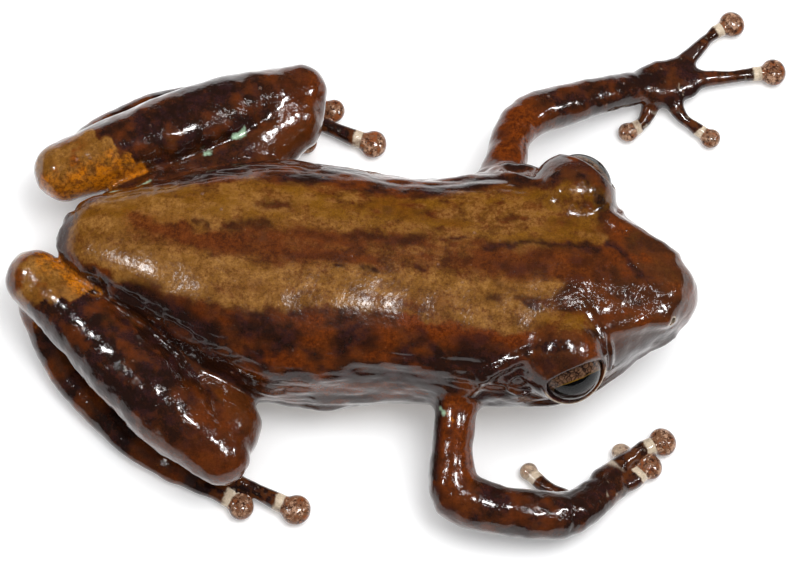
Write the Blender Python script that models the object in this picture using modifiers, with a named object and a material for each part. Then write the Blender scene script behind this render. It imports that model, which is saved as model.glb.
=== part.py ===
"""A small leaf-litter frog crouched on the floor, as a still, life-size museum model.

The frog looks along +X, its left side is +Y and up is +Z. The origin is on the floor, in the
middle of the belly's flat. Sizes below are in millimetres and become metres in place().
"""
import math

import bmesh
import bpy
from mathutils import Matrix, Vector

MM = 0.001

# Driving sizes of the animal
SNOUT_VENT = 26.1
VENT_X = -12.8
BODY_WIDTH = 10.4
BODY_HEIGHT = 6.6
EYE_RADIUS = 1.40
DISC_RADIUS = 0.58
DIGIT_RADIUS = 0.31

# What separates one named piece from the next
JOINT_GAP = 0.26

# The trunk from vent to snout, one row a section: place along the body from 0 at the vent to 1 at
# the snout, half width as a share of half the body's width, then the heights of the back, of the
# widest level and of the belly as shares of the body's height, then the sideways shift in mm.
TRUNK = (
    (0.000, 0.15, 0.64, 0.56, 0.45, 0.00),
    (0.025, 0.31, 0.73, 0.55, 0.35, -0.05),
    (0.080, 0.45, 0.83, 0.56, 0.24, -0.25),
    (0.155, 0.62, 0.92, 0.54, 0.13, -0.45),
    (0.245, 0.84, 0.975, 0.47, 0.02, -0.58),
    (0.345, 0.99, 1.00, 0.41, -0.04, -0.66),
    (0.445, 0.98, 0.995, 0.39, -0.06, -0.60),
    (0.530, 0.91, 0.985, 0.41, -0.05, -0.52),
    (0.600, 0.92, 0.99, 0.45, 0.01, -0.40),
    (0.665, 0.94, 1.02, 0.49, 0.11, -0.30),
    (0.730, 0.94, 1.04, 0.51, 0.21, -0.30),
    (0.790, 0.90, 1.04, 0.51, 0.28, -0.25),
    (0.845, 0.80, 1.01, 0.51, 0.32, -0.20),
    (0.890, 0.650, 0.975, 0.52, 0.355, -0.15),
    (0.930, 0.505, 0.935, 0.54, 0.395, -0.10),
    (0.963, 0.39, 0.89, 0.57, 0.44, -0.05),
    (0.986, 0.26, 0.83, 0.60, 0.49, -0.02),
    (1.000, 0.13, 0.76, 0.63, 0.55, 0.00),
)
TRUNK_SIDES = 20
NECK_SHARE = 0.715
BACK_POWER = 2.25
BELLY_POWER = 2.2
RUMP_POWER = 1.7
RUMP_END_SHARE = 0.25

# The head's own parts
EYE_LEFT = (8.04, 3.84, 5.20)
EYE_RIGHT = (8.25, -3.93, 5.20)
LID_RADII = (1.86, 1.62, 1.66)
LID_SHIFT = (-0.15, -0.47, 0.14)
EYE_OPENING = (1.36, 1.14)
EYE_TURN = math.radians(15)
EYE_LIFT = math.radians(22)
NOSTRIL = (12.15, 1.30, 5.12)
NOSTRIL_RADIUS = 0.17
NOSTRIL_RIM = 0.34
EAR_X = 6.45
EAR_ANGLE = math.radians(22)
EAR_RADIUS = 0.62
EAR_RIM = 0.13
MOUTH_GROOVE = 0.12
MOUTH_CORNER_X = 6.9
FOLD_RADIUS = 0.24
FOLD_PLACES = ((7.2, 46), (6.5, 42), (5.8, 36), (5.3, 29))

# Limbs: x, y and z of each station, then half its width and half its height
ARM_LEFT = (
    (4.6, 3.0, 3.6, 1.10, 1.15),
    (4.9, 5.4, 3.15, 0.88, 0.90),
    (5.15, 7.15, 2.65, 0.90, 0.88),
    (5.85, 8.10, 2.40, 0.94, 0.88),
    (7.4, 8.92, 2.0, 0.90, 0.84),
    (9.2, 9.80, 1.5, 0.80, 0.72),
    (10.3, 10.4, 1.05, 0.76, 0.60),
    (11.3, 10.8, 0.75, 0.96, 0.50),
    (12.4, 11.35, 0.55, 0.85, 0.38),
)
ARM_RIGHT = (
    (4.0, -3.2, 3.5, 1.20, 1.25),
    (3.95, -5.9, 2.9, 0.98, 1.00),
    (4.05, -7.75, 2.3, 1.02, 1.00),
    (4.60, -8.95, 2.0, 1.10, 1.02),
    (6.2, -9.18, 1.85, 1.02, 0.98),
    (8.0, -9.14, 1.6, 1.02, 0.92),
    (9.15, -8.80, 1.3, 0.90, 0.80),
    (10.2, -7.75, 1.0, 0.76, 0.62),
    (11.0, -6.85, 0.75, 0.74, 0.48),
)
SHANK_LEFT = (
    (-13.1, 3.25, 3.0, 1.30, 1.20),
    (-10.9, 4.35, 3.2, 1.44, 1.38),
    (-8.5, 5.68, 3.2, 1.60, 1.52),
    (-6.1, 6.98, 3.0, 1.52, 1.42),
    (-3.75, 8.05, 2.8, 1.26, 1.16),
)
SHANK_RIGHT = (
    (-13.6, -1.72, 2.9, 1.24, 1.16),
    (-11.6, -3.25, 3.1, 1.52, 1.42),
    (-9.4, -5.10, 3.1, 1.78, 1.58),
    (-7.4, -6.85, 2.9, 1.64, 1.48),
    (-5.35, -8.35, 2.6, 1.26, 1.18),
)
THIGH_LEFT = (
    (-11.0, 0.8, 2.9, 1.20, 1.30),
    (-9.3, 2.6, 2.4, 1.50, 1.55),
    (-6.6, 4.4, 2.2, 1.60, 1.65),
    (-3.75, 6.5, 2.5, 1.34, 1.34),
)
THIGH_RIGHT = (
    (-11.2, -1.0, 2.9, 1.20, 1.30),
    (-9.6, -2.5, 2.4, 1.50, 1.55),
    (-7.6, -4.5, 2.1, 1.60, 1.60),
    (-5.15, -6.95, 2.25, 1.32, 1.32),
)
FOOT_LEFT = (
    (-13.0, 3.9, 1.9, 0.80, 0.75),
    (-12.0, 5.75, 0.95, 0.74, 0.70),
    (-10.0, 7.35, 0.68, 0.68, 0.62),
    (-8.0, 7.95, 0.55, 0.85, 0.48),
    (-6.2, 8.1, 0.50, 0.95, 0.42),
)
FOOT_RIGHT = (
    (-13.5, -2.3, 1.8, 0.82, 0.76),
    (-12.5, -4.4, 0.95, 0.76, 0.70),
    (-10.6, -6.35, 0.68, 0.70, 0.62),
    (-8.7, -7.40, 0.55, 0.85, 0.48),
    (-7.1, -8.00, 0.50, 0.92, 0.42),
)

# Digits: the places that each one runs through, the last being the middle of its disc, then its
# disc's radius as a share of DISC_RADIUS
FINGERS_LEFT = (
    (((11.1, 10.4, 0.55), (10.75, 9.3, 0.48), (10.45, 8.95, 0.40), (10.08, 8.72, 0.33)), 0.74),
    (((11.6, 10.6, 0.55), (12.3, 9.60, 0.50), (12.99, 9.17, 0.42), (13.60, 8.82, 0.33)), 0.76),
    (((12.2, 11.3, 0.52), (13.97, 11.60, 0.52), (15.2, 11.94, 0.45), (16.0, 12.13, 0.36)), 0.98),
    (((11.9, 11.7, 0.52), (12.96, 13.11, 0.52), (13.45, 13.70, 0.45), (14.11, 14.17, 0.36)), 0.95),
)
FINGERS_RIGHT = (
    (((9.6, -8.3, 0.62), (8.48, -7.75, 0.55), (7.74, -7.33, 0.42), (7.21, -6.84, 0.33)), 0.66),
    (((10.4, -7.3, 0.55), (10.75, -6.5, 0.48), (10.85, -6.1, 0.40), (10.95, -5.61, 0.33)), 0.70),
    (((10.7, -6.8, 0.72), (11.25, -6.05, 0.68), (11.98, -5.37, 0.58), (12.60, -5.00, 0.36)), 1.04),
    (((10.6, -7.4, 0.70), (11.15, -7.05, 0.64), (11.58, -6.70, 0.55), (12.12, -6.13, 0.34)), 0.98),
)
TOES_LEFT = (
    (((-7.2, 7.6, 0.45), (-6.3, 6.8, 0.40), (-5.8, 6.5, 0.36), (-5.2, 6.2, 0.33)), 0.68),
    (((-6.8, 7.7, 0.45), (-5.5, 7.0, 0.40), (-4.9, 6.75, 0.36), (-4.3, 6.55, 0.33)), 0.74),
    (((-6.4, 7.9, 0.45), (-4.7, 7.35, 0.40), (-4.0, 7.0, 0.36), (-3.3, 6.75, 0.33)), 0.82),
    (((-6.3, 8.1, 0.45), (-3.6, 7.9, 0.46), (-1.35, 7.17, 0.42), (-0.50, 7.00, 0.36)), 1.04),
    (((-6.4, 8.4, 0.45), (-4.4, 8.65, 0.44), (-3.1, 8.50, 0.40), (-2.32, 8.33, 0.34)), 0.88),
)
TOES_RIGHT = (
    (((-8.2, -7.1, 0.45), (-7.5, -6.3, 0.40), (-7.15, -5.95, 0.36), (-6.8, -5.6, 0.33)), 0.68),
    (((-7.8, -7.3, 0.45), (-6.9, -6.6, 0.40), (-6.4, -6.4, 0.36), (-5.9, -6.2, 0.33)), 0.74),
    (((-7.3, -7.8, 0.45), (-6.2, -7.4, 0.40), (-5.7, -7.3, 0.36), (-5.1, -7.2, 0.33)), 0.82),
    (((-7.2, -8.0, 0.45), (-4.6, -8.65, 0.50), (-2.97, -9.27, 0.45), (-2.10, -9.55, 0.39)), 1.12),
    (((-7.3, -8.3, 0.45), (-5.95, -9.02, 0.46), (-5.05, -9.30, 0.42), (-4.33, -9.66, 0.36)), 0.94),
)

# Cuts that part an arm or a foot: the station that each cut goes through
ELBOW_STATION = 3
WRIST_STATION = 6
INSTEP_STATION = 3
CUT_SHARE = 1.45

# A limb's rounded end: how far out each ring lies and how wide it is, as shares of the end station
END_CAP = ((0.62, 0.80), (0.95, 0.38))
FLOOR_REACH = 60.0
FLOOR_DEPTH = 3.0


def clear_scene():
    for obj in list(bpy.data.objects):
        bpy.data.objects.remove(obj, do_unlink=True)


def collection(name, hidden=False):
    made = bpy.data.collections.new(name)
    bpy.context.scene.collection.children.link(made)
    made.hide_render = hidden
    return made


def material(name, colour, roughness):
    made = bpy.data.materials.new(name)
    made.use_nodes = True
    shader = made.node_tree.nodes["Principled BSDF"]
    shader.inputs["Base Color"].default_value = (*colour, 1.0)
    shader.inputs["Roughness"].default_value = roughness
    shader.inputs["Metallic"].default_value = 0.0
    return made


def add_object(name, bm, finish, scale=MM):
    """Puts a bmesh, in millimetres, into the scene as an object in metres."""
    if scale == MM:
        bmesh.ops.recalc_face_normals(bm, faces=bm.faces)
    bmesh.ops.scale(bm, vec=(scale,) * 3, verts=bm.verts)
    mesh = bpy.data.meshes.new(name)
    bm.to_mesh(mesh)
    bm.free()
    mesh.materials.append(finish)
    obj = bpy.data.objects.new(name, mesh)
    PARTS.objects.link(obj)
    return obj


def settle(obj):
    """Replaces an object's mesh by what its modifiers make of it."""
    graph = bpy.context.evaluated_depsgraph_get()
    made = bpy.data.meshes.new_from_object(obj.evaluated_get(graph))
    obj.modifiers.clear()
    obj.data = made
    return obj


def subdivided(obj, levels):
    smooth = obj.modifiers.new("Smooth", "SUBSURF")
    smooth.levels = levels
    smooth.render_levels = levels
    return settle(obj)


def swell(sides, levels):
    """How much wider a cage has to be for its smoothed ring to keep the radius."""
    return 6.0 / (4.0 + 2.0 * math.cos(2.0 * math.pi / sides)) if levels else 1.0


def skinned(name, rings, finish, levels):
    """A closed loft through rings of points, from a coarse cage."""
    bm = bmesh.new()
    loops = [[bm.verts.new(point) for point in ring] for ring in rings]
    for near, far in zip(loops, loops[1:]):
        for i in range(len(near)):
            j = (i + 1) % len(near)
            bm.faces.new((near[i], near[j], far[j], far[i]))
    bm.faces.new(loops[0])
    bm.faces.new(loops[-1])
    made = add_object(name, bm, finish)
    return subdivided(made, levels) if levels else made


def power(value, exponent):
    return math.copysign(abs(value) ** exponent, value)


def trunk_section(share):
    """The trunk's section at a share of its length, read between the rows of TRUNK."""
    rows = [row for row in TRUNK if row[0] <= share] or [TRUNK[0]]
    low = TRUNK.index(rows[-1])
    high = min(low + 1, len(TRUNK) - 1)
    span = TRUNK[high][0] - TRUNK[low][0]
    t = (share - TRUNK[low][0]) / span if span else 0.0
    return [a + (b - a) * t for a, b in zip(TRUNK[low], TRUNK[high])]


def trunk_point(section, angle):
    """The point of a trunk section at an angle from the left side, up over the back."""
    share, width, back, side, belly, shift = section
    under = RUMP_POWER if share < RUMP_END_SHARE else BELLY_POWER
    exponent = BACK_POWER if math.sin(angle) > 0 else under
    across = power(math.cos(angle), 2.0 / exponent) * width * BODY_WIDTH / 2
    up = power(math.sin(angle), 2.0 / exponent)
    reach = (back - side) if up > 0 else (side - belly)
    return Vector((VENT_X + share * SNOUT_VENT, shift + across, (side + up * reach) * BODY_HEIGHT))


def trunk_surface(x, angle):
    return trunk_point(trunk_section((x - VENT_X) / SNOUT_VENT), angle)


def make_trunk():
    grow = swell(TRUNK_SIDES, 1)
    rings = []
    for section in TRUNK:
        share, width, back, side, belly, shift = section
        cage = (share, width * grow, side + (back - side) * grow, side, side - (side - belly) * grow, shift)
        turns = (2 * math.pi * i / TRUNK_SIDES for i in range(TRUNK_SIDES))
        rings.append([trunk_point(cage, turn) for turn in turns])
    return skinned("trunk", rings, SKIN, 1)


def limb(name, stations, finish, sides=8, levels=1):
    """A tapered tube with elliptical sections and rounded ends."""
    grow = swell(sides, levels)
    places = [Vector(station[:3]) for station in stations]
    sizes = [station[3:] for station in stations]
    for end, inner in ((0, 1), (-1, -2)):
        out = (places[end] - places[inner]).normalized() * sizes[end][1]
        caps = [(places[end] + out * far, [v * wide for v in sizes[end]]) for far, wide in END_CAP]
        if end == 0:
            caps.reverse()
        at = len(places) if end else 0
        places[at:at] = [cap[0] for cap in caps]
        sizes[at:at] = [cap[1] for cap in caps]
    rings = []
    for i, (place, (half_width, half_height)) in enumerate(zip(places, sizes)):
        before = places[max(i - 1, 0)]
        after = places[min(i + 1, len(places) - 1)]
        along = (after - before).normalized()
        aside = along.cross(Vector((0, 0, 1))).normalized()
        over = aside.cross(along)
        ring = []
        for k in range(sides):
            turn = 2 * math.pi * (k + 0.5) / sides
            ring.append(
                place
                + aside * math.cos(turn) * half_width * grow
                + over * math.sin(turn) * half_height * grow
            )
        rings.append(ring)
    return skinned(name, rings, finish, levels)


def ball(name, centre, radii, finish, segments=16, rings=10, heading=None):
    """An ellipsoid, turned about the upright axis so that its first radius lies along heading."""
    bm = bmesh.new()
    bmesh.ops.create_uvsphere(bm, u_segments=segments, v_segments=rings, radius=1.0)
    bmesh.ops.scale(bm, vec=radii, verts=bm.verts)
    if heading:
        turn = Matrix.Rotation(math.atan2(heading.y, heading.x), 3, "Z")
        bmesh.ops.rotate(bm, verts=bm.verts, matrix=turn)
    bmesh.ops.translate(bm, vec=centre, verts=bm.verts)
    return add_object(name, bm, finish)


def wire(name, points, radius, finish, sides=2):
    """A tube along a smooth curve through points, as a closed mesh."""
    curve = bpy.data.curves.new(name, "CURVE")
    curve.dimensions = "3D"
    curve.bevel_depth = radius * MM
    curve.bevel_resolution = sides
    curve.use_fill_caps = True
    spline = curve.splines.new("POLY")
    spline.points.add(len(points) - 1)
    for item, point in zip(spline.points, points):
        item.co = (*(Vector(point) * MM), 1.0)
    guide = bpy.data.objects.new(name, curve)
    PARTS.objects.link(guide)
    graph = bpy.context.evaluated_depsgraph_get()
    mesh = bpy.data.meshes.new_from_object(guide.evaluated_get(graph))
    bm = bmesh.new()
    bm.from_mesh(mesh)
    bmesh.ops.remove_doubles(bm, verts=bm.verts, dist=1e-7)
    bmesh.ops.scale(bm, vec=(1 / MM,) * 3, verts=bm.verts)
    bpy.data.objects.remove(guide, do_unlink=True)
    return add_object(name, bm, finish)


def boolean(obj, others, operation):
    """Joins objects to obj, or cuts them out of it, and removes them."""
    group = bpy.data.collections.new("operands")
    for other in others:
        group.objects.link(other)
    change = obj.modifiers.new(operation, "BOOLEAN")
    change.operation = operation
    change.operand_type = "COLLECTION"
    change.collection = group
    change.solver = "MANIFOLD"
    settle(obj)
    for other in others:
        bpy.data.objects.remove(other, do_unlink=True)
    bpy.data.collections.remove(group)
    return keep_largest(obj)


def islands(bm):
    """The separate closed surfaces of a mesh, as lists of faces."""
    left = set(bm.faces)
    found = []
    while left:
        patch = [left.pop()]
        for face in patch:
            for edge in face.edges:
                for other in edge.link_faces:
                    if other in left:
                        left.remove(other)
                        patch.append(other)
        found.append(patch)
    return found


def patch_area(patch):
    return sum(face.calc_area() for face in patch)


def keep_largest(obj):
    """Leaves an object its largest closed surface alone."""
    bm = bmesh.new()
    bm.from_mesh(obj.data)
    patches = sorted(islands(bm), key=patch_area)
    loose = [face for patch in patches[:-1] for face in patch]
    bmesh.ops.delete(bm, geom=loose, context="FACES")
    bm.to_mesh(obj.data)
    bm.free()
    return obj


def grown(obj, by=JOINT_GAP):
    """A copy of an object that stands out from it by the joint gap."""
    other = obj.copy()
    other.data = obj.data.copy()
    other.name = obj.name + "_grown"
    PARTS.objects.link(other)
    swollen = other.modifiers.new("Grow", "DISPLACE")
    swollen.strength = by * MM
    swollen.mid_level = 0.0
    return settle(other)


def clear_of(obj, *neighbours):
    """Cuts an object back so that it meets its neighbours face to face, with the joint gap."""
    for neighbour in neighbours:
        boolean(obj, [grown(neighbour)], "DIFFERENCE")
    return obj


def cut_disc(place, along, radius):
    """A thin round cutter across a limb."""
    bm = bmesh.new()
    bmesh.ops.create_cone(
        bm, cap_ends=True, segments=24, radius1=radius, radius2=radius, depth=JOINT_GAP
    )
    turn = Vector((0, 0, 1)).rotation_difference(along).to_matrix()
    bmesh.ops.rotate(bm, verts=bm.verts, matrix=turn)
    bmesh.ops.translate(bm, verts=bm.verts, vec=place)
    return add_object("cut", bm, SKIN)


def part_at(obj, stations, cuts, names):
    """Parts a limb at the numbered stations and names its lengths in order from the root."""
    discs = []
    for number in cuts:
        before, here, after = (Vector(stations[number + k][:3]) for k in (-1, 0, 1))
        along = (here - before).normalized() + (after - here).normalized()
        discs.append(cut_disc(here, along, stations[number][3] * CUT_SHARE))
    group = obj.copy()
    group.data = obj.data.copy()
    bounds = (0, *cuts, len(stations) - 1)
    lengths = []
    for low, high, name in zip(bounds, bounds[1:], names):
        ends = Vector(stations[low][:3]) + Vector(stations[high][:3])
        lengths.append((name, ends / 2))
    for disc in discs:
        cut_all(group, disc)
    return split(obj, group, lengths)


def cut_all(obj, cutter):
    change = obj.modifiers.new("Part", "BOOLEAN")
    change.operation = "DIFFERENCE"
    change.object = cutter
    change.solver = "MANIFOLD"


def split(original, group, lengths):
    """Makes one object of each loose length of a parted limb."""
    PARTS.objects.link(group)
    cutters = [change.object for change in group.modifiers]
    settle(group)
    bm = bmesh.new()
    bm.from_mesh(group.data)
    patches = sorted(islands(bm), key=patch_area)[-len(lengths):]
    made = []
    for name, middle in lengths:
        patch = min(patches, key=lambda faces: nearest(faces, middle))
        patches.remove(patch)
        made.append(piece_of(name, patch, original.data.materials[0]))
    bm.free()
    for obj in (group, original, *cutters):
        bpy.data.objects.remove(obj, do_unlink=True)
    return made


def nearest(faces, place):
    """The distance from a place, in millimetres, to the middle of some faces."""
    corners = [vert.co for face in faces for vert in face.verts]
    low = Vector(min(c[i] for c in corners) for i in range(3))
    high = Vector(max(c[i] for c in corners) for i in range(3))
    return ((low + high) / 2 / MM - place).length


def piece_of(name, faces, finish):
    bm = bmesh.new()
    copies = {}
    for face in faces:
        for vert in face.verts:
            if vert not in copies:
                copies[vert] = bm.verts.new(vert.co)
        bm.faces.new([copies[vert] for vert in face.verts])
    return add_object(name, bm, finish, 1.0)


def flat_on_floor(obj):
    """Cuts an object off at the floor."""
    bm = bmesh.new()
    bmesh.ops.create_cube(bm, size=1.0)
    bmesh.ops.scale(bm, vec=(FLOOR_REACH, FLOOR_REACH, FLOOR_DEPTH), verts=bm.verts)
    bmesh.ops.translate(bm, vec=(0, 0, -FLOOR_DEPTH / 2), verts=bm.verts)
    return boolean(obj, [add_object("floor", bm, SKIN)], "DIFFERENCE")


def digit(name, places, disc_share):
    """A finger or toe with its widened, flattened disc."""
    root, knuckle, neck, tip = (Vector(p) for p in places)
    stations = (
        (*root, DIGIT_RADIUS * 1.5, DIGIT_RADIUS * 1.2),
        (*knuckle, DIGIT_RADIUS * 1.1, DIGIT_RADIUS * 1.1),
        (*neck, DIGIT_RADIUS, DIGIT_RADIUS * 0.95),
        (*tip, DIGIT_RADIUS, DIGIT_RADIUS * 0.7),
    )
    shaft = limb(name, stations, SKIN, 8, 0)
    across = DISC_RADIUS * disc_share
    radii = (across * 0.94, across, across * 0.64)
    disc = ball(name + "_disc", tip, radii, SKIN, 12, 7, tip - neck)
    return [shaft, disc]


def with_digits(obj, digits):
    pieces = []
    for number, (places, disc_share) in enumerate(digits):
        pieces += digit(f"{obj.name}_digit_{number}", places, disc_share)
    return boolean(obj, pieces, "UNION")


def eye_frame(side):
    """The middle of an eye and the way it looks."""
    centre = Vector(EYE_LEFT if side > 0 else EYE_RIGHT)
    look = Vector((
        math.sin(EYE_TURN) * math.cos(EYE_LIFT),
        side * math.cos(EYE_TURN) * math.cos(EYE_LIFT),
        math.sin(EYE_LIFT),
    ))
    return centre, look


def eye_opening(name, centre, look):
    """The oval hole between an eye's lids, as a cutter along the way it looks."""
    half_length, half_height = EYE_OPENING
    bm = bmesh.new()
    bmesh.ops.create_cone(bm, cap_ends=True, segments=24, radius1=1, radius2=1, depth=4 * EYE_RADIUS)
    bmesh.ops.scale(bm, vec=(half_length, half_height, 1.0), verts=bm.verts)
    turn = look.to_track_quat("Z", "Y").to_matrix()
    bmesh.ops.rotate(bm, verts=bm.verts, matrix=turn)
    bmesh.ops.translate(bm, verts=bm.verts, vec=centre + look * 2.3 * EYE_RADIUS)
    return add_object(name, bm, SKIN)


def mouth_line():
    """The closed mouth, from one corner round the snout to the other."""
    corner = (MOUTH_CORNER_X - VENT_X) / SNOUT_VENT
    shares = [corner + (0.992 - corner) * math.sin(math.pi / 2 * i / 8) for i in range(9)]
    angle = math.radians(-9)
    left = [trunk_point(trunk_section(share), angle) for share in shares]
    right = [trunk_point(trunk_section(share), math.pi - angle) for share in reversed(shares)]
    front = trunk_point(trunk_section(1.0), 0.0)
    return [*left, Vector((front.x + 0.12, 0.0, left[-1].z)), *right]


def ear_ring(side):
    """The raised rim of the eardrum, as a closed tube lying on the side of the head."""
    angle = EAR_ANGLE if side > 0 else math.pi - EAR_ANGLE
    centre = trunk_surface(EAR_X, angle)
    ahead = (trunk_surface(EAR_X + 0.4, angle) - centre).normalized()
    above = (trunk_surface(EAR_X, angle + side * 0.15) - centre).normalized()
    out = ahead.cross(above) * -side
    bm = bmesh.new()
    rings = []
    for i in range(16):
        turn = 2 * math.pi * i / 16
        spoke = ahead * math.cos(turn) + above * math.sin(turn)
        ring = []
        for k in range(6):
            roll = 2 * math.pi * k / 6
            offset = spoke * (EAR_RADIUS + EAR_RIM * math.cos(roll)) + out * EAR_RIM * math.sin(roll)
            ring.append(bm.verts.new(centre + offset))
        rings.append(ring)
    for i, ring in enumerate(rings):
        after = rings[(i + 1) % len(rings)]
        for k in range(6):
            bm.faces.new((ring[k], ring[(k + 1) % 6], after[(k + 1) % 6], after[k]))
    return add_object("ear", bm, SKIN)


def shoulder_fold(side):
    """The fold of skin from behind the eye, over the eardrum, down to the shoulder."""
    places = []
    for x, degrees in FOLD_PLACES:
        angle = math.radians(degrees) if side > 0 else math.radians(180 - degrees)
        places.append(trunk_surface(x, angle))
    return wire("fold", places, FOLD_RADIUS, SKIN, 1)


def make_head_and_torso():
    trunk = make_trunk()
    lids, nostrils, openings, eyes = [], [], [], []
    for side, word in ((1, "left"), (-1, "right")):
        centre, look = eye_frame(side)
        shift = Vector((LID_SHIFT[0], side * LID_SHIFT[1], LID_SHIFT[2]))
        lids.append(ball("lid", centre + shift, LID_RADII, SKIN, 20, 12))
        eyes.append(ball(f"eye_{word}", centre, (EYE_RADIUS,) * 3, EYE, 20, 14))
        openings.append(eye_opening("opening", centre, look))
        x, y, z = NOSTRIL
        place = Vector((x, trunk_surface(x, math.pi / 2).y + side * y, z))
        lids.append(ball("rim", place, (NOSTRIL_RIM,) * 3, SKIN, 10, 6))
        hole = place + Vector((0.1, side * NOSTRIL_RIM * 0.8, NOSTRIL_RIM * 0.45))
        nostrils.append(ball("nostril", hole, (NOSTRIL_RADIUS,) * 3, SKIN, 8, 6))
        lids += [ear_ring(side), shoulder_fold(side)]
    boolean(trunk, lids, "UNION")
    boolean(trunk, [*openings, *nostrils, wire("mouth", mouth_line(), MOUTH_GROOVE, SKIN, 1)], "DIFFERENCE")
    clear_of(trunk, *eyes)
    neck_x = VENT_X + NECK_SHARE * SNOUT_VENT
    ends = ((VENT_X, 0, 3), (neck_x, -0.4, 3.5), (VENT_X + SNOUT_VENT, 0, 4))
    stations = [(*place, 0, 0) for place in ends]
    flat_on_floor(trunk)
    disc = cut_disc(Vector(ends[1]), Vector((1, 0, 0)), BODY_WIDTH)
    whole = trunk.copy()
    whole.data = trunk.data.copy()
    cut_all(whole, disc)
    middles = [("torso", Vector((-3.0, 0, 3))), ("head", Vector((9.5, 0, 4)))]
    torso, head = split(trunk, whole, middles)
    return torso, head, eyes


def make_arm(side, stations, fingers, torso):
    arm = limb(f"arm_{side}", stations, SKIN)
    with_digits(arm, fingers)
    clear_of(arm, torso)
    flat_on_floor(arm)
    names = (f"upper_arm_{side}", f"forearm_{side}", f"hand_{side}")
    return part_at(arm, stations, (ELBOW_STATION, WRIST_STATION), names)


def make_leg(side, shank_stations, thigh_stations, foot_stations, toes, torso):
    shank = limb(f"shank_{side}", shank_stations, SKIN)
    clear_of(shank, torso)
    thigh = limb(f"thigh_{side}", thigh_stations, SKIN)
    clear_of(thigh, torso, shank)
    foot = limb(f"leg_end_{side}", foot_stations, SKIN)
    with_digits(foot, toes)
    clear_of(foot, shank, thigh)
    for piece in (shank, thigh, foot):
        flat_on_floor(piece)
    names = (f"tarsus_{side}", f"foot_{side}")
    return part_at(foot, foot_stations, (INSTEP_STATION,), names)


clear_scene()
PARTS = collection("frog")
SKIN = material("wet_skin", (0.16, 0.055, 0.018), 0.22)
EYE = material("eye", (0.02, 0.014, 0.01), 0.05)
TORSO, HEAD, EYES = make_head_and_torso()
make_arm("left", ARM_LEFT, FINGERS_LEFT, TORSO)
make_arm("right", ARM_RIGHT, FINGERS_RIGHT, TORSO)
make_leg("left", SHANK_LEFT, THIGH_LEFT, FOOT_LEFT, TOES_LEFT, TORSO)
make_leg("right", SHANK_RIGHT, THIGH_RIGHT, FOOT_RIGHT, TOES_RIGHT, TORSO)
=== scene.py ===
"""Looks of the leaf-litter frog: one wet skin over the whole body, two eyes, floor, light and camera.

Shapes are worked out in millimetres, in the frame of the solids: +X to the snout, +Y to the
frog's left, +Z up from the floor. They become metres when a mesh is made.
"""

import math

import bmesh
import bpy
import numpy as np
import openvdb
from mathutils import Matrix, Vector


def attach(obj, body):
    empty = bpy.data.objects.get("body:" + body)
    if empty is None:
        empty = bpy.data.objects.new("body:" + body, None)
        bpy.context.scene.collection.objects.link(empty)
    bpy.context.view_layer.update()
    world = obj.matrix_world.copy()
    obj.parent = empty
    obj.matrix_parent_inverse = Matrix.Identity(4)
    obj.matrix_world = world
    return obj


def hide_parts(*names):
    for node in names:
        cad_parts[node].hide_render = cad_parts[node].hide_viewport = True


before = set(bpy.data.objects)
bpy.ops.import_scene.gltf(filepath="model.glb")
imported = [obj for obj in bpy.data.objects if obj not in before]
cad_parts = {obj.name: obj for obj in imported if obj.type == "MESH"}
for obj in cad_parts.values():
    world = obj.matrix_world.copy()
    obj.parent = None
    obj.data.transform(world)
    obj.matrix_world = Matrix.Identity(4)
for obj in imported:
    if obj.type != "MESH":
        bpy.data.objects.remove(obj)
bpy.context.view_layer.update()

MM = 0.001
PHOTO_WIDTH = 803

# The block of cells that the skin is worked out in: their size, its two corners, and how far
# from a form its distances are kept
CELL = 0.10
BLOCK_LOW = (-15.2, -10.8, -0.35)
BLOCK_HIGH = (17.1, 15.2, 7.6)
FAR = 1.2

# The trunk, one row a section: x, half width, heights of the back, the widest level and the
# belly, then the sideways shift of its middle
TRUNK = (
    (-13.00, 1.35, 4.30, 3.66, 2.90, 0.00),
    (-12.50, 1.60, 4.75, 3.66, 2.50, -0.02),
    (-12.00, 1.80, 5.00, 3.66, 2.15, -0.05),
    (-10.71, 2.36, 5.50, 3.70, 1.55, -0.25),
    (-8.75, 3.22, 6.07, 3.56, 0.86, -0.45),
    (-6.41, 4.37, 6.44, 3.10, 0.13, -0.58),
    (-3.80, 5.15, 6.60, 2.71, -0.26, -0.66),
    (-1.19, 5.10, 6.57, 2.57, -0.40, -0.60),
    (1.03, 4.73, 6.50, 2.71, -0.33, -0.52),
    (2.86, 4.78, 6.53, 2.97, 0.07, -0.40),
    (4.56, 4.89, 6.68, 3.23, 0.73, -0.30),
    (6.25, 4.89, 6.82, 3.37, 1.39, -0.30),
    (7.82, 4.66, 6.80, 3.37, 1.85, -0.25),
    (9.25, 4.14, 6.62, 3.37, 2.11, -0.20),
    (10.43, 3.22, 6.40, 3.43, 2.34, -0.16),
    (11.47, 2.26, 6.20, 3.56, 2.58, -0.18),
    (12.33, 1.74, 6.00, 3.74, 2.80, -0.14),
    (12.93, 1.52, 5.85, 3.90, 2.95, -0.08),
    (13.42, 1.40, 5.75, 4.05, 3.05, 0.00),
)
TAIL_ROUND = 1.3
SNOUT_ROUND = 1.35
TRUNK_SOFTNESS = 0.28
TRUNK_SPACING = 0.05
BACK_POWER = 2.5
BELLY_POWER = 2.2
RUMP_POWER = 1.8
RUMP_X = -7.0

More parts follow.
